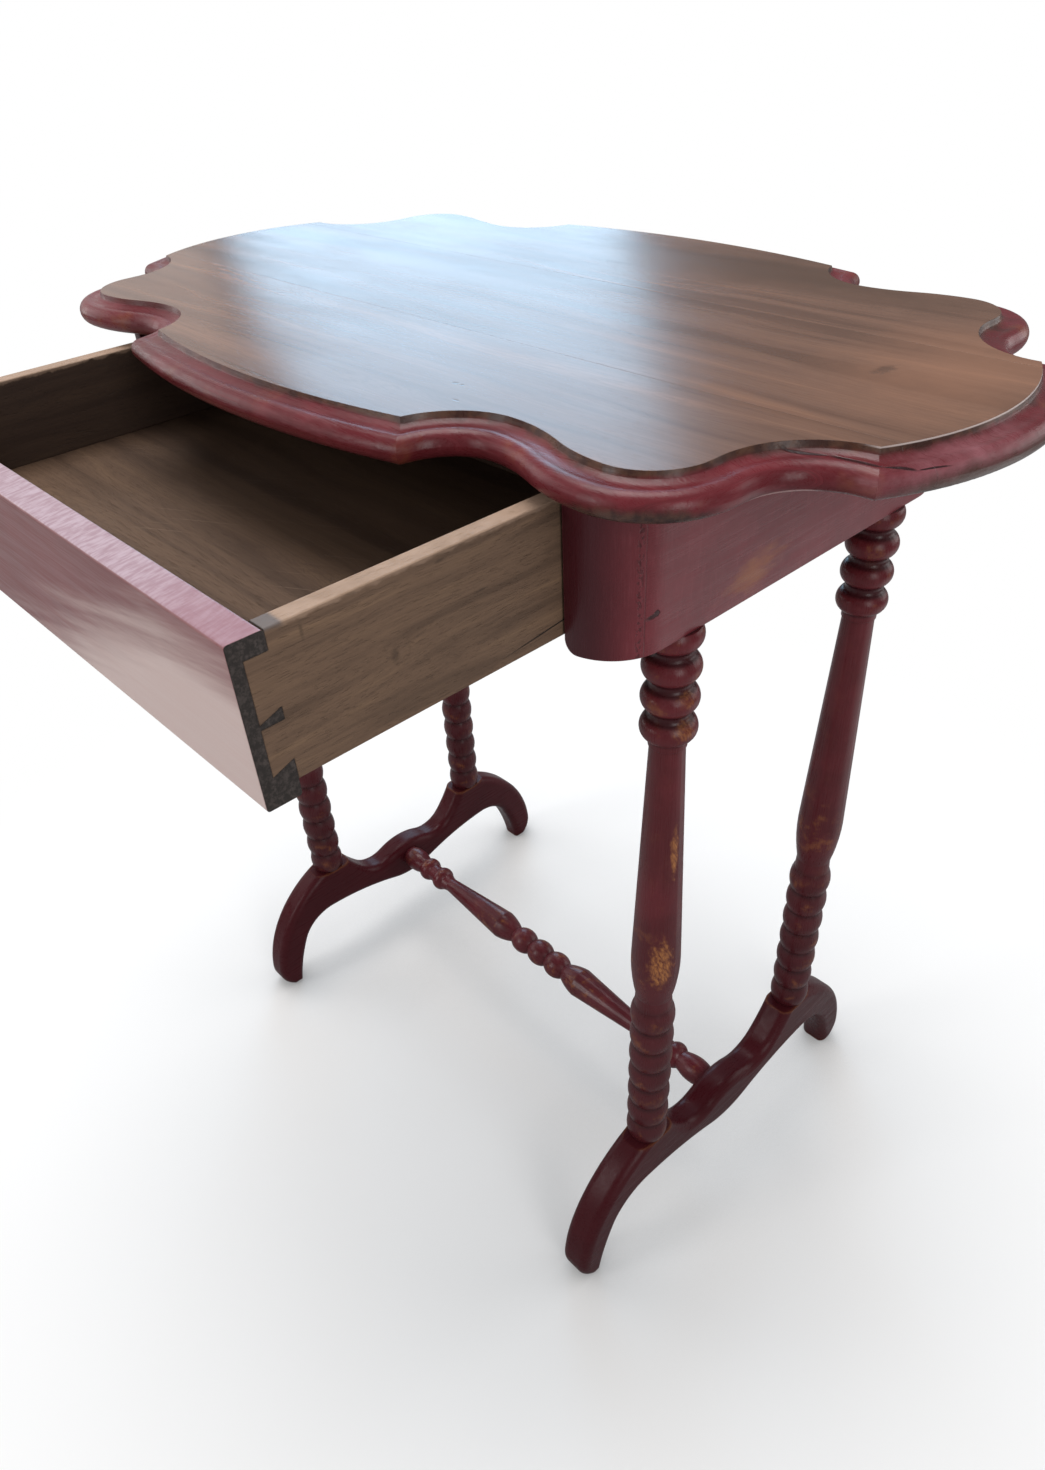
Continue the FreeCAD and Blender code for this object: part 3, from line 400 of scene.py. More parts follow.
# Drawer case: two thick side aprons and a back apron, tongued into four rounded corner blocks.
# Painted outside, strokes lengthwise on the aprons and upright on the blocks, with painted shade on the
# end-facing parts of the blocks; the joint of a block and a side has opened into a row of dots, and the
# right side has a rubbed patch and a chip.
def finish_case():
    """Burgundy by the direction of each board, with painted shade on the ends of the blocks, the opened
    joint, the rubbed patch and the chip.
    """
    joint = -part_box("corner_block_front_right")[1].y
    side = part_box("side_apron_right")[1].x
    back_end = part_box("corner_block_rear_right")[0].x
    line = 0.0005
    opened_at = joint + 0.003
    opened_half_width = 0.0026
    weave_size = (0.001, 0.001, 0.012)
    bead_size = (1, 0.0015, 0.0022)
    wipe_size = (1, 3.0, 0.8)
    rubbed_place = (side, -0.050, 0.627)
    rubbed_size = (0.01, 0.034, 0.014)
    slit_place = (side, -0.1325, 0.6336)
    slit_size = (0.01, 0.0056, 0.0017)
    hole_place = (side, -0.1300, 0.6346)
    hole_size = (0.01, 0.0022, 0.0021)
    lean = (0.2, 0, 0)
    case_burgundy = colour(122, 48, 56)
    block_shade_burgundy = colour(66, 20, 28)
    open_joint = colour(34, 14, 18)
    material, tree, place = new_finish("case_paint")

    off_middle = axes(tree, absolute(tree, place))
    beside = off_middle["Y"]
    on_block = ramp(tree, beside, joint - line, joint + line)
    on_back = times(tree, on_block, ramp(tree, off_middle["X"], back_end + line, back_end - line))
    lengthwise = mapped(tree, place, turn=along_depth)
    along = mixed_places(tree, on_block, lengthwise, mapped(tree, place, turn=upright))
    along = mixed_places(tree, on_back, along, place)
    tone, gloss, height = painted(tree, along)
    tone = mixed(tree, 0.5, tone, case_burgundy)
    weave = ramp(tree, streaky(tree, place, weave_size, roughness=0.6), 0.5, 0.72, 0.0, 0.3)
    tone = mixed(tree, times(tree, weave, sums(tree, "SUBTRACT", 1.0, on_back)), tone, faded_burgundy)
    # Painted shade: the end-facing parts of the corner blocks are dark.
    shaded_block_ends = ramp(tree, beside, joint + 0.004, joint + 0.022)
    tone = stained(tree, tone, times(tree, on_block, shaded_block_ends), 0.9, block_shade_burgundy)

    rubbed = grouped(tree, rubbed_edges, Place=place, Reach=0.0014, Wear=0.5)["Rubbed"]
    off_joint = ramp(tree, distance(tree, beside, joint), 0.001, 0.003)
    tone = stained(tree, tone, times(tree, rubbed, off_joint), 0.6, faded_burgundy)
    wiped = mapped(tree, place, stretch=wipe_size)
    spot = mapped(tree, place, rubbed_place, lean, rubbed_size)
    rubbed_spot = grouped(tree, worn_patch, Spot=spot, Place=wiped, Ragged=2.2, Grain=150.0, Core=0.0)
    tone = stained(tree, tone, rubbed_spot["Patch"], 0.6, wood_under_paint)

    beads = ramp(tree, streaky(tree, place, bead_size), 0.5, 0.62)
    opened = times(tree, ramp(tree, distance(tree, beside, opened_at), opened_half_width, 0.0004), beads)
    slit = patch_at(tree, place, slit_place, slit_size, lean, ragged=1.1, grain=420.0, core=0.4)
    hole = patch_at(tree, place, hole_place, hole_size, ragged=0.5, grain=500.0)
    cuts = largest(tree, times(tree, opened, 0.55), slit, hole)
    tone = stained(tree, tone, cuts, 0.85, open_joint)
    surface = sums(tree, "SUBTRACT", times(tree, height, 0.2), cuts)
    normals = raised(tree, surface, depth=0.0008, edge_round=0.0012)
    return settle(material, tone, gloss, normals, shine=0.36)


dress(finish_case(), "side_apron_left", "side_apron_right", "back_apron", "corner_block_front_left",
      "corner_block_front_right", "corner_block_rear_left", "corner_block_rear_right")


# Inside of the case: runners with their guides, cleats under the top and two stops, all of
# plain planed softwood, gone brown and dusty, each with its grain along its length.
def make_wood_grain():
    """Figure, pores and fine fibres of wood whose grain runs along the first axis."""
    drift_size = (0.30, 0.05, 0.05)
    figure_size = (0.45, 0.014, 0.014)
    fibre_size = (0.05, 0.0009, 0.0009)
    pore_size = (0.011, 0.0005, 0.0005)
    wanted = [("Along", "Vector", None), ("Bands", "Float", 1.0)]
    tree, given, result = new_group("wood grain", wanted, ["Figure", "Fibre", "Pores"])
    drift = streaky(tree, given["Along"], drift_size)
    aside = {"Y": times(tree, drift, 0.05), "Z": times(tree, drift, 0.03)}
    wander = add(tree, "CombineXYZ", aside).outputs[0]
    moved = add(tree, "VectorMath", {0: given["Along"], 1: wander}, operation="ADD").outputs[0]
    banded = add(tree, "VectorMath", {0: moved, "Scale": given["Bands"]}, operation="SCALE").outputs[0]
    pores = streaky(tree, moved, pore_size, detail=1.0)
    join(tree, streaky(tree, banded, figure_size, detail=5.0, roughness=0.55), result["Figure"])
    join(tree, streaky(tree, moved, fibre_size, detail=3.0, roughness=0.65), result["Fibre"])
    join(tree, ramp(tree, pores, 0.62, 0.74), result["Pores"])
    return tree


wood_grain = make_wood_grain()


def grained(tree, along, dark, middle, pale, bands=1.0):
    """Wood in three tones along its grain: its colour and the height of its fibres."""
    grain = grouped(tree, wood_grain, Along=along, Bands=bands)
    tone = mixed(tree, ramp(tree, grain["Figure"], 0.34, 0.54), dark, middle)
    tone = mixed(tree, ramp(tree, grain["Figure"], 0.52, 0.74), tone, pale)
    tone = stained(tree, tone, ramp(tree, grain["Fibre"], 0.4, 0.66), 0.42, dark)
    tone = stained(tree, tone, grain["Pores"], 0.4, dark)
    return tone, sums(tree, "SUBTRACT", times(tree, grain["Fibre"], 0.5), grain["Pores"])


def finish_plain_wood(name, turn):
    """Brown softwood with dust, its grain turned along the piece."""
    softwood = (colour(92, 66, 46), colour(136, 104, 76), colour(158, 126, 94))
    dust_grey = colour(96, 84, 74)
    material, tree, place = new_finish(name)
    tone, height = grained(tree, mapped(tree, place, turn=turn), *softwood)
    dust = ramp(tree, noise(tree, place, 14.0, detail=3.0), 0.45, 0.7, 0.0, 0.3)
    tone = mixed(tree, dust, tone, dust_grey)
    return settle(material, tone, 0.72, raised(tree, height, depth=0.0003, edge_round=0.0008))


dress(finish_plain_wood("runner_wood", along_depth), "drawer_runner_left", "drawer_runner_right",
      "top_cleat_left", "top_cleat_right")
dress(finish_plain_wood("stop_wood", (0, 0, 0)), "drawer_stops")


# Fasteners: countersunk steel screws in cleats and runners, cut nails in the drawer.
# Old steel, brown with a little rust where it is rough.
def finish_steel():
    """Grey steel that turns brown, rough and dull with rust."""
    steel_grey = colour(128, 124, 120)
    rust_brown = colour(92, 62, 44)
    material, tree, place = new_finish("old_steel")
    rust = ramp(tree, noise(tree, place, 900.0, detail=4.0, roughness=0.65), 0.42, 0.62)
    tone = mixed(tree, rust, steel_grey, rust_brown)
    metal = tree.nodes["Principled BSDF"].inputs["Metallic"]
    join(tree, ramp(tree, rust, 0.0, 1.0, 0.95, 0.2), metal)
    gloss = ramp(tree, rust, 0.0, 1.0, 0.38, 0.8)
    return settle(material, tone, gloss, raised(tree, rust, depth=0.0001, edge_round=0.0002))


dress(finish_steel(), "top_screws", "cleat_screws", "runner_screws", "drawer_bottom_nails",
      "drawer_back_nails")


# Drawer box: two sides with lapped dovetails, a back let into them and a bottom in grooves.
# Bare walnut, its long edges eased, handled pale along the top, painted shade inside on the sides, back and
# bottom, grimy joints.
drawer_dark = colour(86, 67, 54)
drawer_brown = colour(116, 92, 74)
drawer_pale = colour(136, 109, 85)
drawer_walnut = (drawer_dark, drawer_brown, drawer_pale)
handled_edge = colour(174, 147, 127)
joint_dirt = colour(26, 21, 19)
box_ease = 0.0009
box_shortest_edge = 0.05


def ease(name, amount, shortest, material):
    """A board of the drawer with its long edges rounded over, in place of the sharp one."""
    right_angle = math.pi / 2
    shape = bmesh.new()
    shape.from_mesh(parts[name].data)
    bmesh.ops.remove_doubles(shape, verts=shape.verts, dist=1e-6)
    bmesh.ops.dissolve_limit(shape, angle_limit=0.01, verts=shape.verts, edges=shape.edges)
    long_edges = [edge for edge in shape.edges if edge.is_manifold and edge.is_convex
                  and edge.calc_length() > shortest and edge.calc_face_angle() > 0.9 * right_angle]
    bmesh.ops.bevel(shape, geom=long_edges, offset=amount, offset_type="OFFSET", affect="EDGES", segments=4,
                    profile=0.5, material=-1, clamp_overlap=True)
    for face in shape.faces:
        face.smooth = True
    for edge in shape.edges:
        edge.smooth = edge.is_manifold and edge.calc_face_angle() < 0.5 * right_angle
    mesh = bpy.data.meshes.new(name + "_eased")
    shape.to_mesh(mesh)
    shape.free()
    mesh.materials.append(material)
    board = bpy.data.objects.new(name + "_eased", mesh)
    bpy.context.scene.collection.objects.link(board)
    board.modifiers.new("even faces", "WEIGHTED_NORMAL").keep_sharp = True
    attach(board, "drawer")
    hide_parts(name)


def finish_drawer_sides():
    """Walnut along the depth, with a handled top, painted shade on the inner faces, knocks, one crack and
    grimy dovetails.
    """
    low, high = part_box("drawer_side_right")
    back_of_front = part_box("drawer_front")[1].y
    knocks = (
        ((high.x, -0.263, 0.656), (0.01, 0.0030, 0.0055)),
        ((high.x, -0.306, 0.687), (0.01, 0.0016, 0.0060)),
        ((high.x, -0.233, 0.690), (0.01, 0.0050, 0.0014)),
        ((high.x, -0.212, 0.667), (0.01, 0.0060, 0.0012)),
    )
    crack_place = (high.x, -0.170, 0.628)
    crack_size = (0.01, 0.040, 0.0007)
    crack_lean = (0.1, 0, 0)
    inner_shade_brown = colour(38, 25, 21)
    lap_grey = colour(108, 100, 98)
    material, tree, place = new_finish("drawer_side_wood")
    tone, height = grained(tree, mapped(tree, place, turn=along_depth), *drawer_walnut, bands=2.2)
    tone = mixed(tree, 0.3, tone, drawer_brown)
    at = axes(tree, place)
    beside = axes(tree, absolute(tree, place))["X"]
    facing_up = axes(tree, normal_of(tree))["Z"]
    # Painted shade: the inner faces of the sides are dark brown.
    tone = stained(tree, tone, ramp(tree, beside, low.x + 0.0008, low.x), 0.8, inner_shade_brown)

    ragged = times(tree, sums(tree, "SUBTRACT", noise(tree, place, 130.0, detail=4.0), 0.5), 0.005)
    near_top = ramp(tree, sums(tree, "ADD", at["Z"], ragged), high.z - 0.0026, high.z - 0.0010)
    handled = times(tree, near_top, ramp(tree, facing_up, 0.0, 0.5, 0.5, 1.0))
    less_worn = ramp(tree, noise(tree, place, 60.0, detail=4.0), 0.4, 0.7, 0.0, 0.45)
    worn_tone = mixed(tree, less_worn, handled_edge, drawer_pale)
    on_lap = ramp(tree, at["Y"], back_of_front + 0.010, back_of_front + 0.007)
    tone = stained(tree, tone, handled, 0.9, mixed(tree, on_lap, worn_tone, lap_grey))

    for centre, size in knocks:
        knock = patch_at(tree, place, centre, size, ragged=1.6, core=0.1)
        tone = stained(tree, tone, knock, 0.4, joint_dirt)
    crack = patch_at(tree, place, crack_place, crack_size, crack_lean, ragged=0.5, grain=150.0, core=0.3)
    edge = grouped(tree, rubbed_edges, Place=place, Reach=0.0011, Wear=1.0)["Edge"]
    in_joint = times(tree, edge, ramp(tree, at["Y"], back_of_front + 0.003, back_of_front + 0.001))
    dark = largest(tree, in_joint, crack)
    tone = stained(tree, tone, dark, 0.92, joint_dirt)
    surface = sums(tree, "SUBTRACT", height, dark)
    return settle(material, tone, 0.6, raised(tree, surface, depth=0.0004, edge_round=0.0007), shine=0.3)


def finish_drawer_board(name, shade):
    """Walnut across the drawer, darkened all over by painted shade and more towards the back by a painted
    shadow, scored, with one knot.
    """
    front_end = -0.30
    shadow_full_from = -0.16
    knot_place = (-0.022, -0.158, 0.629)
    knot_size = (0.014, 0.007, 0.01)
    score_size = (0.09, 0.0012, 0.05)
    score_turn = (0, 0, 0.5)
    shade_brown = colour(58, 42, 34)
    rear_shadow_brown = colour(48, 34, 27)
    knot_brown = colour(36, 26, 22)
    material, tree, place = new_finish(name)
    tone, height = grained(tree, place, *drawer_walnut, bands=0.6)
    # Painted shade: the whole board is darkened by a share of brown.
    tone = mixed(tree, shade, tone, shade_brown)
    scores = ramp(tree, streaky(tree, place, score_size, detail=1.0, turn=score_turn), 0.68, 0.76)
    scored = times(tree, scores, ramp(tree, noise(tree, place, 9.0), 0.42, 0.6))
    tone = stained(tree, tone, scored, 0.25, handled_edge)
    # Painted shadow: darker towards the back of the drawer.
    tone = stained(tree, tone, ramp(tree, axes(tree, place)["Y"], front_end, shadow_full_from), 0.6, rear_shadow_brown)
    knot = patch_at(tree, place, knot_place, knot_size, ragged=1.2, grain=120.0, core=0.1)
    tone = stained(tree, tone, knot, 0.7, knot_brown)
    blotches = ramp(tree, noise(tree, place, 11.0, detail=3.0, roughness=0.6), 0.56, 0.72)
    tone = stained(tree, tone, blotches, 0.35, drawer_dark)
    return settle(material, tone, 0.58, raised(tree, height, depth=0.0003, edge_round=0.0007), shine=0.2)


drawer_side_wood = finish_drawer_sides()
drawer_back_wood = finish_drawer_board("drawer_back_wood", 0.3)
ease("drawer_side_left", box_ease, box_shortest_edge, drawer_side_wood)
ease("drawer_side_right", box_ease, box_shortest_edge, drawer_side_wood)
ease("drawer_back", box_ease, box_shortest_edge, drawer_back_wood)
dress(finish_drawer_board("drawer_bottom_wood", 0.12), "drawer_bottom")


# Drawer front: a thick board lapped over the dovetails, painted on its face and top edge.
# The paint is thin and chalky, made pale towards the lower right by a painted sheen; the ends are bare grey
# end grain.
front_ease = 0.0016
front_shortest_edge = 0.09


def finish_drawer_front():
    """Chalky paint on the face with a painted sheen, mauve on the top edge that is partly a painted
    reflection, bare wood behind and grey end grain.
    """
    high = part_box("drawer_front")[1]
    sheen_line = 0.62
    sheen_blur = 0.028
    slope = 0.4
    streak_size = (0.20, 0.02, 0.010)
    streak_turn = (0, -0.2, 0)
    cross_size = (0.0024, 0.012, 0.03)
    cross_turn = (0, 0, 0.25)
    ring_size = (1, 0.004, 0.03)
    sheen_pale = colour(230, 208, 202)
    face_rose = colour(149, 98, 99)
    mauve = colour(160, 130, 141)
    pale_mauve_reflection = colour(184, 162, 173)
    red_mauve = colour(148, 98, 109)
    edge_rose = colour(150, 96, 100)
    end_dark = colour(50, 45, 43)
    end_grey = colour(78, 70, 67)
    end_ring = colour(40, 35, 33)
    material, tree, place = new_finish("drawer_front_paint")
    tone, gloss, height = painted(tree, place)
    tone = mixed(tree, 0.7, tone, face_rose)
    at = axes(tree, place)
    facing = axes(tree, normal_of(tree))

    # Painted sheen: a pale wash on the face below a slanted, streaked line; worn is that line.
    slanted = sums(tree, "SUBTRACT", at["Z"], times(tree, at["X"], slope))
    streak = streaky(tree, place, streak_size, detail=4.0, roughness=0.6, turn=streak_turn)
    uneven = times(tree, sums(tree, "SUBTRACT", streak, 0.5), 0.07)
    worn = sums(tree, "ADD", slanted, uneven)
    sheen = ramp(tree, worn, sheen_line + sheen_blur, sheen_line - sheen_blur)
    off_top = ramp(tree, sums(tree, "ADD", at["Z"], uneven), high.z + 0.008, high.z - 0.042)
    on_face = ramp(tree, facing["Y"], -0.6, -0.9)
    tone = stained(tree, tone, times(tree, sums(tree, "MINIMUM", sheen, off_top), on_face), 0.85, sheen_pale)

    on_top = ramp(tree, facing["Z"], 0.6, 0.9)
    cross = streaky(tree, place, cross_size, detail=4.0, roughness=0.65, turn=cross_turn)
    # The pale mauve of the top edge is partly paint and partly a painted reflection.
    top_tone = mixed(tree, ramp(tree, cross, 0.35, 0.65), mauve, pale_mauve_reflection)
    top_tone = stained(tree, top_tone, ramp(tree, at["X"], 0.11, 0.20), 0.6, red_mauve)
    tone = mixed(tree, on_top, tone, top_tone)
    rubbed = grouped(tree, rubbed_edges, Place=place, Reach=0.0022, Wear=0.7)["Rubbed"]
    tone = stained(tree, tone, rubbed, 0.5, edge_rose)

    bare_tone = grained(tree, place, *drawer_walnut)[0]
    unpainted = largest(tree, ramp(tree, facing["Y"], 0.3, 0.6), ramp(tree, facing["Z"], -0.5, -0.8))
    tone = mixed(tree, unpainted, tone, bare_tone)
    specks = ramp(tree, noise(tree, place, 420.0, detail=3.0, roughness=0.7), 0.4, 0.66)
    rings = ramp(tree, streaky(tree, place, ring_size), 0.4, 0.6)
    end_tone = stained(tree, mixed(tree, specks, end_dark, end_grey), rings, 0.3, end_ring)
    on_end = ramp(tree, sums(tree, "ABSOLUTE", facing["X"]), 0.6, 0.9)
    tone = mixed(tree, on_end, tone, end_tone)
    rough = largest(tree, sums(tree, "ADD", gloss, 0.06), times(tree, on_end, 0.85))
    texture = sums(tree, "ADD", height, times(tree, cross, on_top))
    normals = raised(tree, texture, depth=0.00025, edge_round=0.0012)
    return settle(material, tone, rough, normals, shine=0.4)


ease("drawer_front", front_ease, front_shortest_edge, finish_drawer_front())


# Top: three boards of walnut glued edge to edge, the grain along the length, stained and varnished.
# The moulded edge is painted; its arris is rubbed dark, pale at the right end, and the nose of the
# front right lobe is worn black below.  A split runs along the moulding near the right front corner.
def stained_walnut(tree, place, flat, joint):
    """The varnished face: its colour, the height of its grain and the depth of its dents."""
    walnut_tones = (colour(94, 67, 54), colour(114, 84, 69), colour(131, 96, 77))
    rear_brown = colour(74, 51, 36)
    end_tan = colour(160, 114, 88)
    streak_orange = colour(172, 116, 78)
    dent_brown = colour(50, 36, 30)
    board_shift = (0.37, 0.21)
    rear_place = (0.11, 0.150, flat)
    rear_size = (0.22, 0.06, 0.01)
    end_place = (0.30, 0.045, flat)
    end_size = (0.09, 0.12, 0.01)
    streak_place = (0.25, -0.062, flat)
    streak_turn = (0, 0, -0.16)
    streak_size = (0.11, 0.013, 0.01)
    streak_rim = (4, 0.5, 1)
    dents = (
        ((0.1068, -0.1341, flat), (0.0030, 0.0022, 0.01), 0.45),
        ((0.1122, -0.1339, flat), (0.0018, 0.0018, 0.01), 0.45),
        ((0.1271, -0.1513, flat), (0.0040, 0.0012, 0.01), 0.35),
        ((0.2661, 0.0175, flat), (0.0060, 0.0110, 0.01), 0.45),
    )
    across = axes(tree, place)["Y"]
    second = sums(tree, "GREATER_THAN", across, -joint)
    board = sums(tree, "ADD", second, sums(tree, "GREATER_THAN", across, joint))
    moves = {"X": times(tree, board, board_shift[0]), "Z": times(tree, board, board_shift[1])}
    shift = add(tree, "CombineXYZ", moves).outputs[0]
    sawn = add(tree, "VectorMath", {0: place, 1: shift}, operation="ADD").outputs[0]
    walnut, grain_height = grained(tree, sawn, *walnut_tones, bands=0.9)
    rear_edge = patch_at(tree, place, rear_place, rear_size, ragged=1.0, grain=14.0, core=0.1)
    walnut = stained(tree, walnut, rear_edge, 0.75, rear_brown)
    right_end = patch_at(tree, place, end_place, end_size, ragged=1.0, grain=16.0, core=0.0)
    walnut = stained(tree, walnut, right_end, 0.45, end_tan)
    warm = mapped(tree, place, streak_place, streak_turn, streak_size)
    pulled = mapped(tree, place, stretch=streak_rim)
    streak = grouped(tree, worn_patch, Spot=warm, Place=pulled, Ragged=1.3, Grain=60.0, Core=0.0)["Patch"]
    walnut = stained(tree, walnut, streak, 0.08, streak_orange)
    pressed = []
    for centre, size, share in dents:
        pressed.append(patch_at(tree, place, centre, size, ragged=1.3, grain=260.0, core=0.2))
        walnut = stained(tree, walnut, pressed[-1], share, dent_brown)
    return walnut, grain_height, largest(tree, *pressed)


def painted_moulding(tree, place, below, bottom):
    """The painted edge: its colour, roughness, the height of its strokes and the depth of its split."""
    moulding_burgundy = colour(108, 35, 41)
    faded_and_sheen_pink = colour(164, 110, 118)
    rubbed_brown = colour(92, 66, 50)
    nose_black = colour(46, 38, 35)
    nose_brown = colour(84, 62, 52)
    end_nose_brown = colour(72, 53, 45)
    lip_pink = colour(206, 168, 166)
    split_dark = colour(36, 20, 22)
    faded_and_sheen_place = (0.340, -0.045, 0.709)
    faded_and_sheen_size = (0.035, 0.075, 0.012)
    nose_place = (0.264, -0.166, bottom)
    nose_size = (0.042, 0.024, 0.0115)
    nose_turn = (0, 0, 0.45)
    end_nose_place = (0.346, -0.020, bottom)
    end_nose_size = (0.038, 0.095, 0.0135)
    end_nose_turn = (0, 0, 0.1)
    lip_place = (0.302, -0.115, bottom + 0.0012)
    lip_size = (0.05, 0.02, 0.0014)
    lip_turn = (0, 0, -0.9)
    splits = (
        ((0.2929, -0.0907, 0.714), (0.0128, 0.0012, 0.02), 0.520),
        ((0.3151, -0.0838, 0.714), (0.0150, 0.0022, 0.02), 0.104),
        ((0.3328, -0.0776, 0.714), (0.0088, 0.0010, 0.02), 0.761),
        ((0.3417, -0.0650, 0.714), (0.0100, 0.0004, 0.02), 1.123),
    )
    sideways = sums(tree, "ABSOLUTE", axes(tree, normal_of(tree))["X"])
    endwise = ramp(tree, sideways, 0.5, 0.62)
    along = mixed_places(tree, endwise, place, mapped(tree, place, turn=along_depth))
    tone, gloss, height = painted(tree, along)
    tone = mixed(tree, 0.4, tone, moulding_burgundy)
    # Pale patch at the right end: partly faded paint, partly a painted sheen.
    faded_and_sheen = patch_at(tree, place, faded_and_sheen_place, faded_and_sheen_size, ragged=1.2, grain=40.0, core=0.0)
    tone = stained(tree, tone, faded_and_sheen, 0.7, faded_and_sheen_pink)

    large = noise(tree, place, 13.0, detail=3.0, roughness=0.55)
    fine = noise(tree, place, 75.0, detail=5.0, roughness=0.65)
    ragged = sums(tree, "ADD", times(tree, sums(tree, "SUBTRACT", large, 0.5), 0.006),
                  times(tree, sums(tree, "SUBTRACT", fine, 0.5), 0.005))
    rub = ramp(tree, sums(tree, "ADD", below, ragged), 0.0044, 0.0014)
    more_to_the_right = ramp(tree, axes(tree, place)["X"], -0.15, 0.10, 0.4, 0.9)
    rub_tone = mixed(tree, ramp(tree, fine, 0.42, 0.62), dark_wood_under_paint, rubbed_brown)
    tone = stained(tree, tone, rub, more_to_the_right, rub_tone)
    scuffs = ramp(tree, noise(tree, place, 24.0, detail=4.0, roughness=0.6), 0.54, 0.7)
    tone = stained(tree, tone, scuffs, 0.25, wood_under_paint)

    nose = patch_at(tree, place, nose_place, nose_size, nose_turn, ragged=0.5, grain=120.0, core=0.55)
    nose_tone = mixed(tree, ramp(tree, fine, 0.40, 0.60), nose_black, nose_brown)
    tone = stained(tree, tone, nose, 0.9, nose_tone)
    end_nose = patch_at(tree, place, end_nose_place, end_nose_size, end_nose_turn, grain=60.0, core=0.5)
    tone = stained(tree, tone, end_nose, 0.9, end_nose_brown)
    lip = patch_at(tree, place, lip_place, lip_size, lip_turn, grain=90.0)
    tone = stained(tree, tone, lip, 0.7, lip_pink)
    cracks = [patch_at(tree, place, centre, size, (0, 0, turn), ragged=0.3, grain=140.0, core=0.6)
              for centre, size, turn in splits]
    split = largest(tree, *cracks)
    return stained(tree, tone, split, 0.9, split_dark), gloss, height, split


def finish_top():
    """Walnut on the face, paint on the moulding, bare wood below and a pale arris at the right end."""
    low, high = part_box("top_board_centre")
    varnish_size = (0.12, 0.04, 0.04)
    arris_depth = 0.0003
    pale_arris_from = 0.310
    pale_arris_full = 0.325
    underside_brown = colour(70, 50, 40)
    arris_pale = colour(214, 200, 196)
    material, tree, place = new_finish("top_finish")
    facing_up = axes(tree, normal_of(tree))["Z"]
    at = axes(tree, place)
    below = sums(tree, "SUBTRACT", high.z, at["Z"])
    walnut, grain_height, pressed = stained_walnut(tree, place, high.z, high.y)
    tone, gloss, height, split = painted_moulding(tree, place, below, low.z)

    on_flat = times(tree, ramp(tree, below, arris_depth, 0.0001), ramp(tree, facing_up, 0.7, 0.9))
    underneath = ramp(tree, facing_up, -0.9, -0.99)
    tone = mixed(tree, underneath, tone, mixed(tree, 0.5, walnut, underside_brown))
    tone = mixed(tree, on_flat, tone, walnut)
    arris = times(tree, ramp(tree, distance(tree, below, arris_depth), 0.0006, 0.0002),
                  ramp(tree, facing_up, 0.95, 0.8))
    at_right_end = ramp(tree, at["X"], pale_arris_from, pale_arris_full)
    tone = stained(tree, tone, times(tree, arris, at_right_end), 0.8, arris_pale)

    varnish = ramp(tree, streaky(tree, place, varnish_size, detail=3.0), 0.3, 0.7, 0.22, 0.27)
    smoother = times(tree, sums(tree, "SUBTRACT", varnish, gloss), on_flat)
    rough = sums(tree, "ADD", gloss, smoother)
    strokes = times(tree, height, sums(tree, "SUBTRACT", 1.0, on_flat))
    relief = sums(tree, "ADD", times(tree, grain_height, on_flat, 0.05), strokes)
    hollows = largest(tree, split, times(tree, pressed, 0.5))
    normals = raised(tree, sums(tree, "SUBTRACT", relief, hollows), depth=0.0003, edge_round=0.0006)
    return settle(material, tone, rough, normals, shine=0.3)


dress(finish_top(), "top_board_front", "top_board_centre", "top_board_rear")


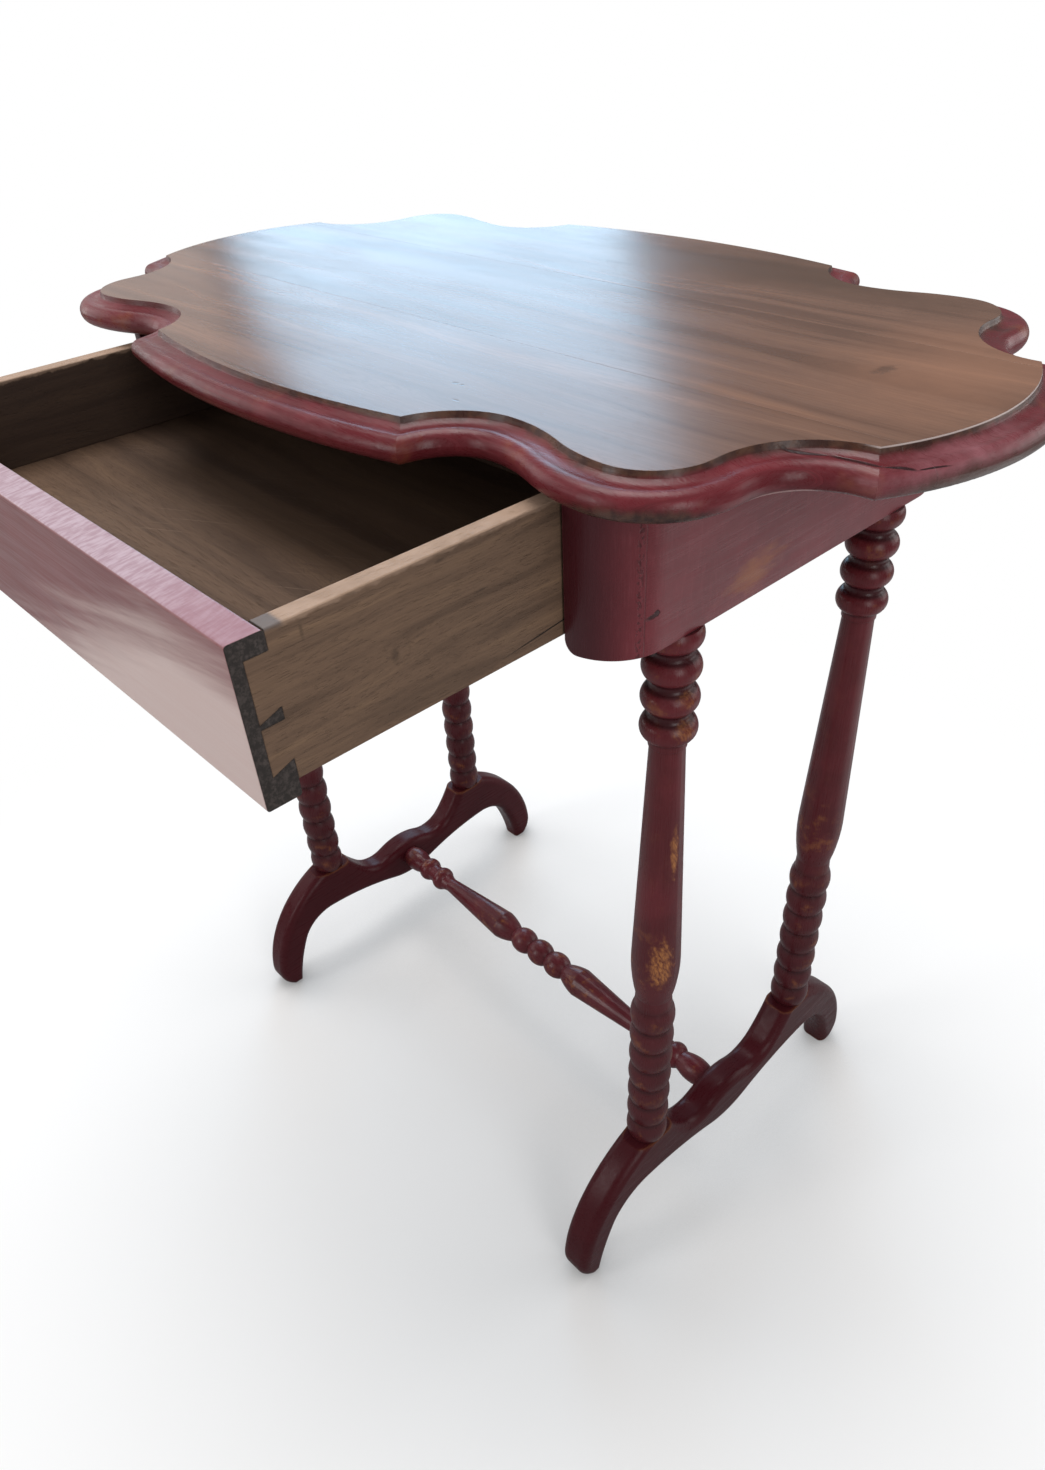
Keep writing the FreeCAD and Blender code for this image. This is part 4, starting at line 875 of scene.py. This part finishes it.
# Room: a pale floor that fades to white away from the table, with a painted contact shadow around the feet
# and a patch that glows white in reflections only, for a painted reflection on the case; one tall window
# behind to the left with a pale wall beside it, one light overhead and soft ones at the front, the rear and
# both sides.
def make_floor():
    """A round floor, grey with the table's shadow and a painted contact shadow close by, white further off,
    and glowing white in reflections only beside the table to the right.
    """
    reach = 12.0
    contact_shadow_reach = 0.16
    shadow_near = 0.30
    white_from = 0.90
    glow_patch_place = (1.0, 0.80, 0)
    bounced_grey = (0.36, 0.36, 0.36, 1)
    contact_shadow_grey = (0.22, 0.22, 0.22, 1)
    floor_grey = (0.86, 0.86, 0.86, 1)
    mesh = bpy.data.meshes.new("floor")
    shape = bmesh.new()
    bmesh.ops.create_circle(shape, cap_ends=True, segments=96, radius=reach)
    shape.to_mesh(mesh)
    shape.free()
    floor = bpy.data.objects.new("floor", mesh)
    bpy.context.scene.collection.objects.link(floor)
    material, tree, place = new_finish("pale_floor")
    surface = tree.nodes["Principled BSDF"]
    surface.inputs["Roughness"].default_value = 0.9
    path = add(tree, "LightPath", {}).outputs
    # Painted contact shadow: the floor seen by the camera is darker where the table is close.
    clear = add(tree, "AmbientOcclusion", {"Distance": contact_shadow_reach}, samples=12).outputs["AO"]
    shown = mixed(tree, ramp(tree, clear, 0.25, 1.0), contact_shadow_grey, floor_grey)
    join(tree, mixed(tree, path["Is Camera Ray"], bounced_grey, shown), surface.inputs["Base Color"])
    white = add(tree, "Emission", {"Color": (1, 1, 1, 1), "Strength": 1.0}).outputs[0]
    far = length_of(tree, place, (1, 1, 0))
    seen = times(tree, ramp(tree, far, shadow_near, white_from, 0.24, 1.0), path["Is Camera Ray"])
    # A patch that glows white in reflections only, so the case side shows a painted reflection.
    from_glow_patch = length_of(tree, mapped(tree, place, centre=glow_patch_place), (1, 1, 0))
    glows_in_reflections = times(tree, ramp(tree, from_glow_patch, 0.75, 0.3), path["Is Glossy Ray"])
    fade = largest(tree, seen, glows_in_reflections)
    blended = add(tree, "MixShader", {0: fade, 1: surface.outputs[0], 2: white})
    join(tree, blended.outputs[0], tree.nodes["Material Output"].inputs["Surface"])
    mesh.materials.append(material)


def make_lamp(name, place, aim, size, radiance, tint=(1.0, 0.98, 0.97), lean=0.0):
    """A rectangular lamp of a given brightness, turned towards a place and leaning to one side."""
    lamp = bpy.data.lights.new(name, "AREA")
    lamp.shape = "RECTANGLE"
    lamp.size, lamp.size_y = size
    lamp.energy = radiance * math.pi * size[0] * size[1]
    lamp.color = tint
    holder = bpy.data.objects.new(name, lamp)
    holder.location = place
    turned = (Vector(aim) - Vector(place)).to_track_quat("-Z", "Y")
    holder.rotation_euler = (turned @ Quaternion((0, 0, 1), lean)).to_euler()
    bpy.context.scene.collection.objects.link(holder)


make_floor()
make_lamp("window", place=(-1.75, 1.47, 1.55), aim=(0.535, -0.478, 1.55), size=(1.00, 1.60),
          radiance=3.5, tint=(0.49, 0.76, 1.0), lean=0.25)
make_lamp("pale_wall", place=(-2.40, 0.42, 1.45), aim=(0.0, 0.0, 1.45), size=(1.15, 1.50), radiance=0.55)
make_lamp("overhead", place=(-0.6, 0.3, 2.8), aim=(0.0, 0.0, 0.4), size=(1.6, 1.6), radiance=5.1)
make_lamp("right_side", place=(2.6, -0.9, 1.5), aim=(0.2, 0.0, 0.5), size=(0.9, 1.9), radiance=4.1)
make_lamp("left_side", place=(-2.6, -1.0, 1.4), aim=(-0.2, 0.0, 0.5), size=(1.6, 1.8), radiance=1.6)
make_lamp("rear", place=(1.55, 2.75, 1.4), aim=(0.2, 0.0, 0.6), size=(2.4, 1.8), radiance=1.7)
make_lamp("front", place=(-1.0, -2.8, 1.6), aim=(0.0, -0.2, 0.5), size=(0.8, 1.7), radiance=5.0)

ambient_strength = 0.45
mirrored_strength = 0.2
world = bpy.data.worlds.new("room")
bpy.context.scene.world = world
world.use_nodes = True
room = world.node_tree
ambient = room.nodes["Background"]
ambient.inputs["Color"].default_value = (1, 1, 1, 1)
path = add(room, "LightPath", {}).outputs
dimmed = ramp(room, path["Is Glossy Ray"], 0.0, 1.0, ambient_strength, mirrored_strength)
join(room, largest(room, dimmed, path["Is Camera Ray"]), ambient.inputs["Strength"])


# Camera: held low over the right front corner, a wide lens looking down across the top.
camera = bpy.data.cameras.new("camera")
camera.sensor_width = 36.0
camera.lens = 24.84
camera.shift_x = 0.0012
camera.shift_y = 0.0458
viewer = bpy.data.objects.new("camera", camera)
viewer.location = (0.5353, -0.4785, 0.8905)
viewer.rotation_euler = [math.radians(turn) for turn in (50.082, 2.798, 46.751)]
bpy.context.scene.collection.objects.link(viewer)
bpy.context.scene.camera = viewer
bpy.context.scene.view_settings.view_transform = "Standard"
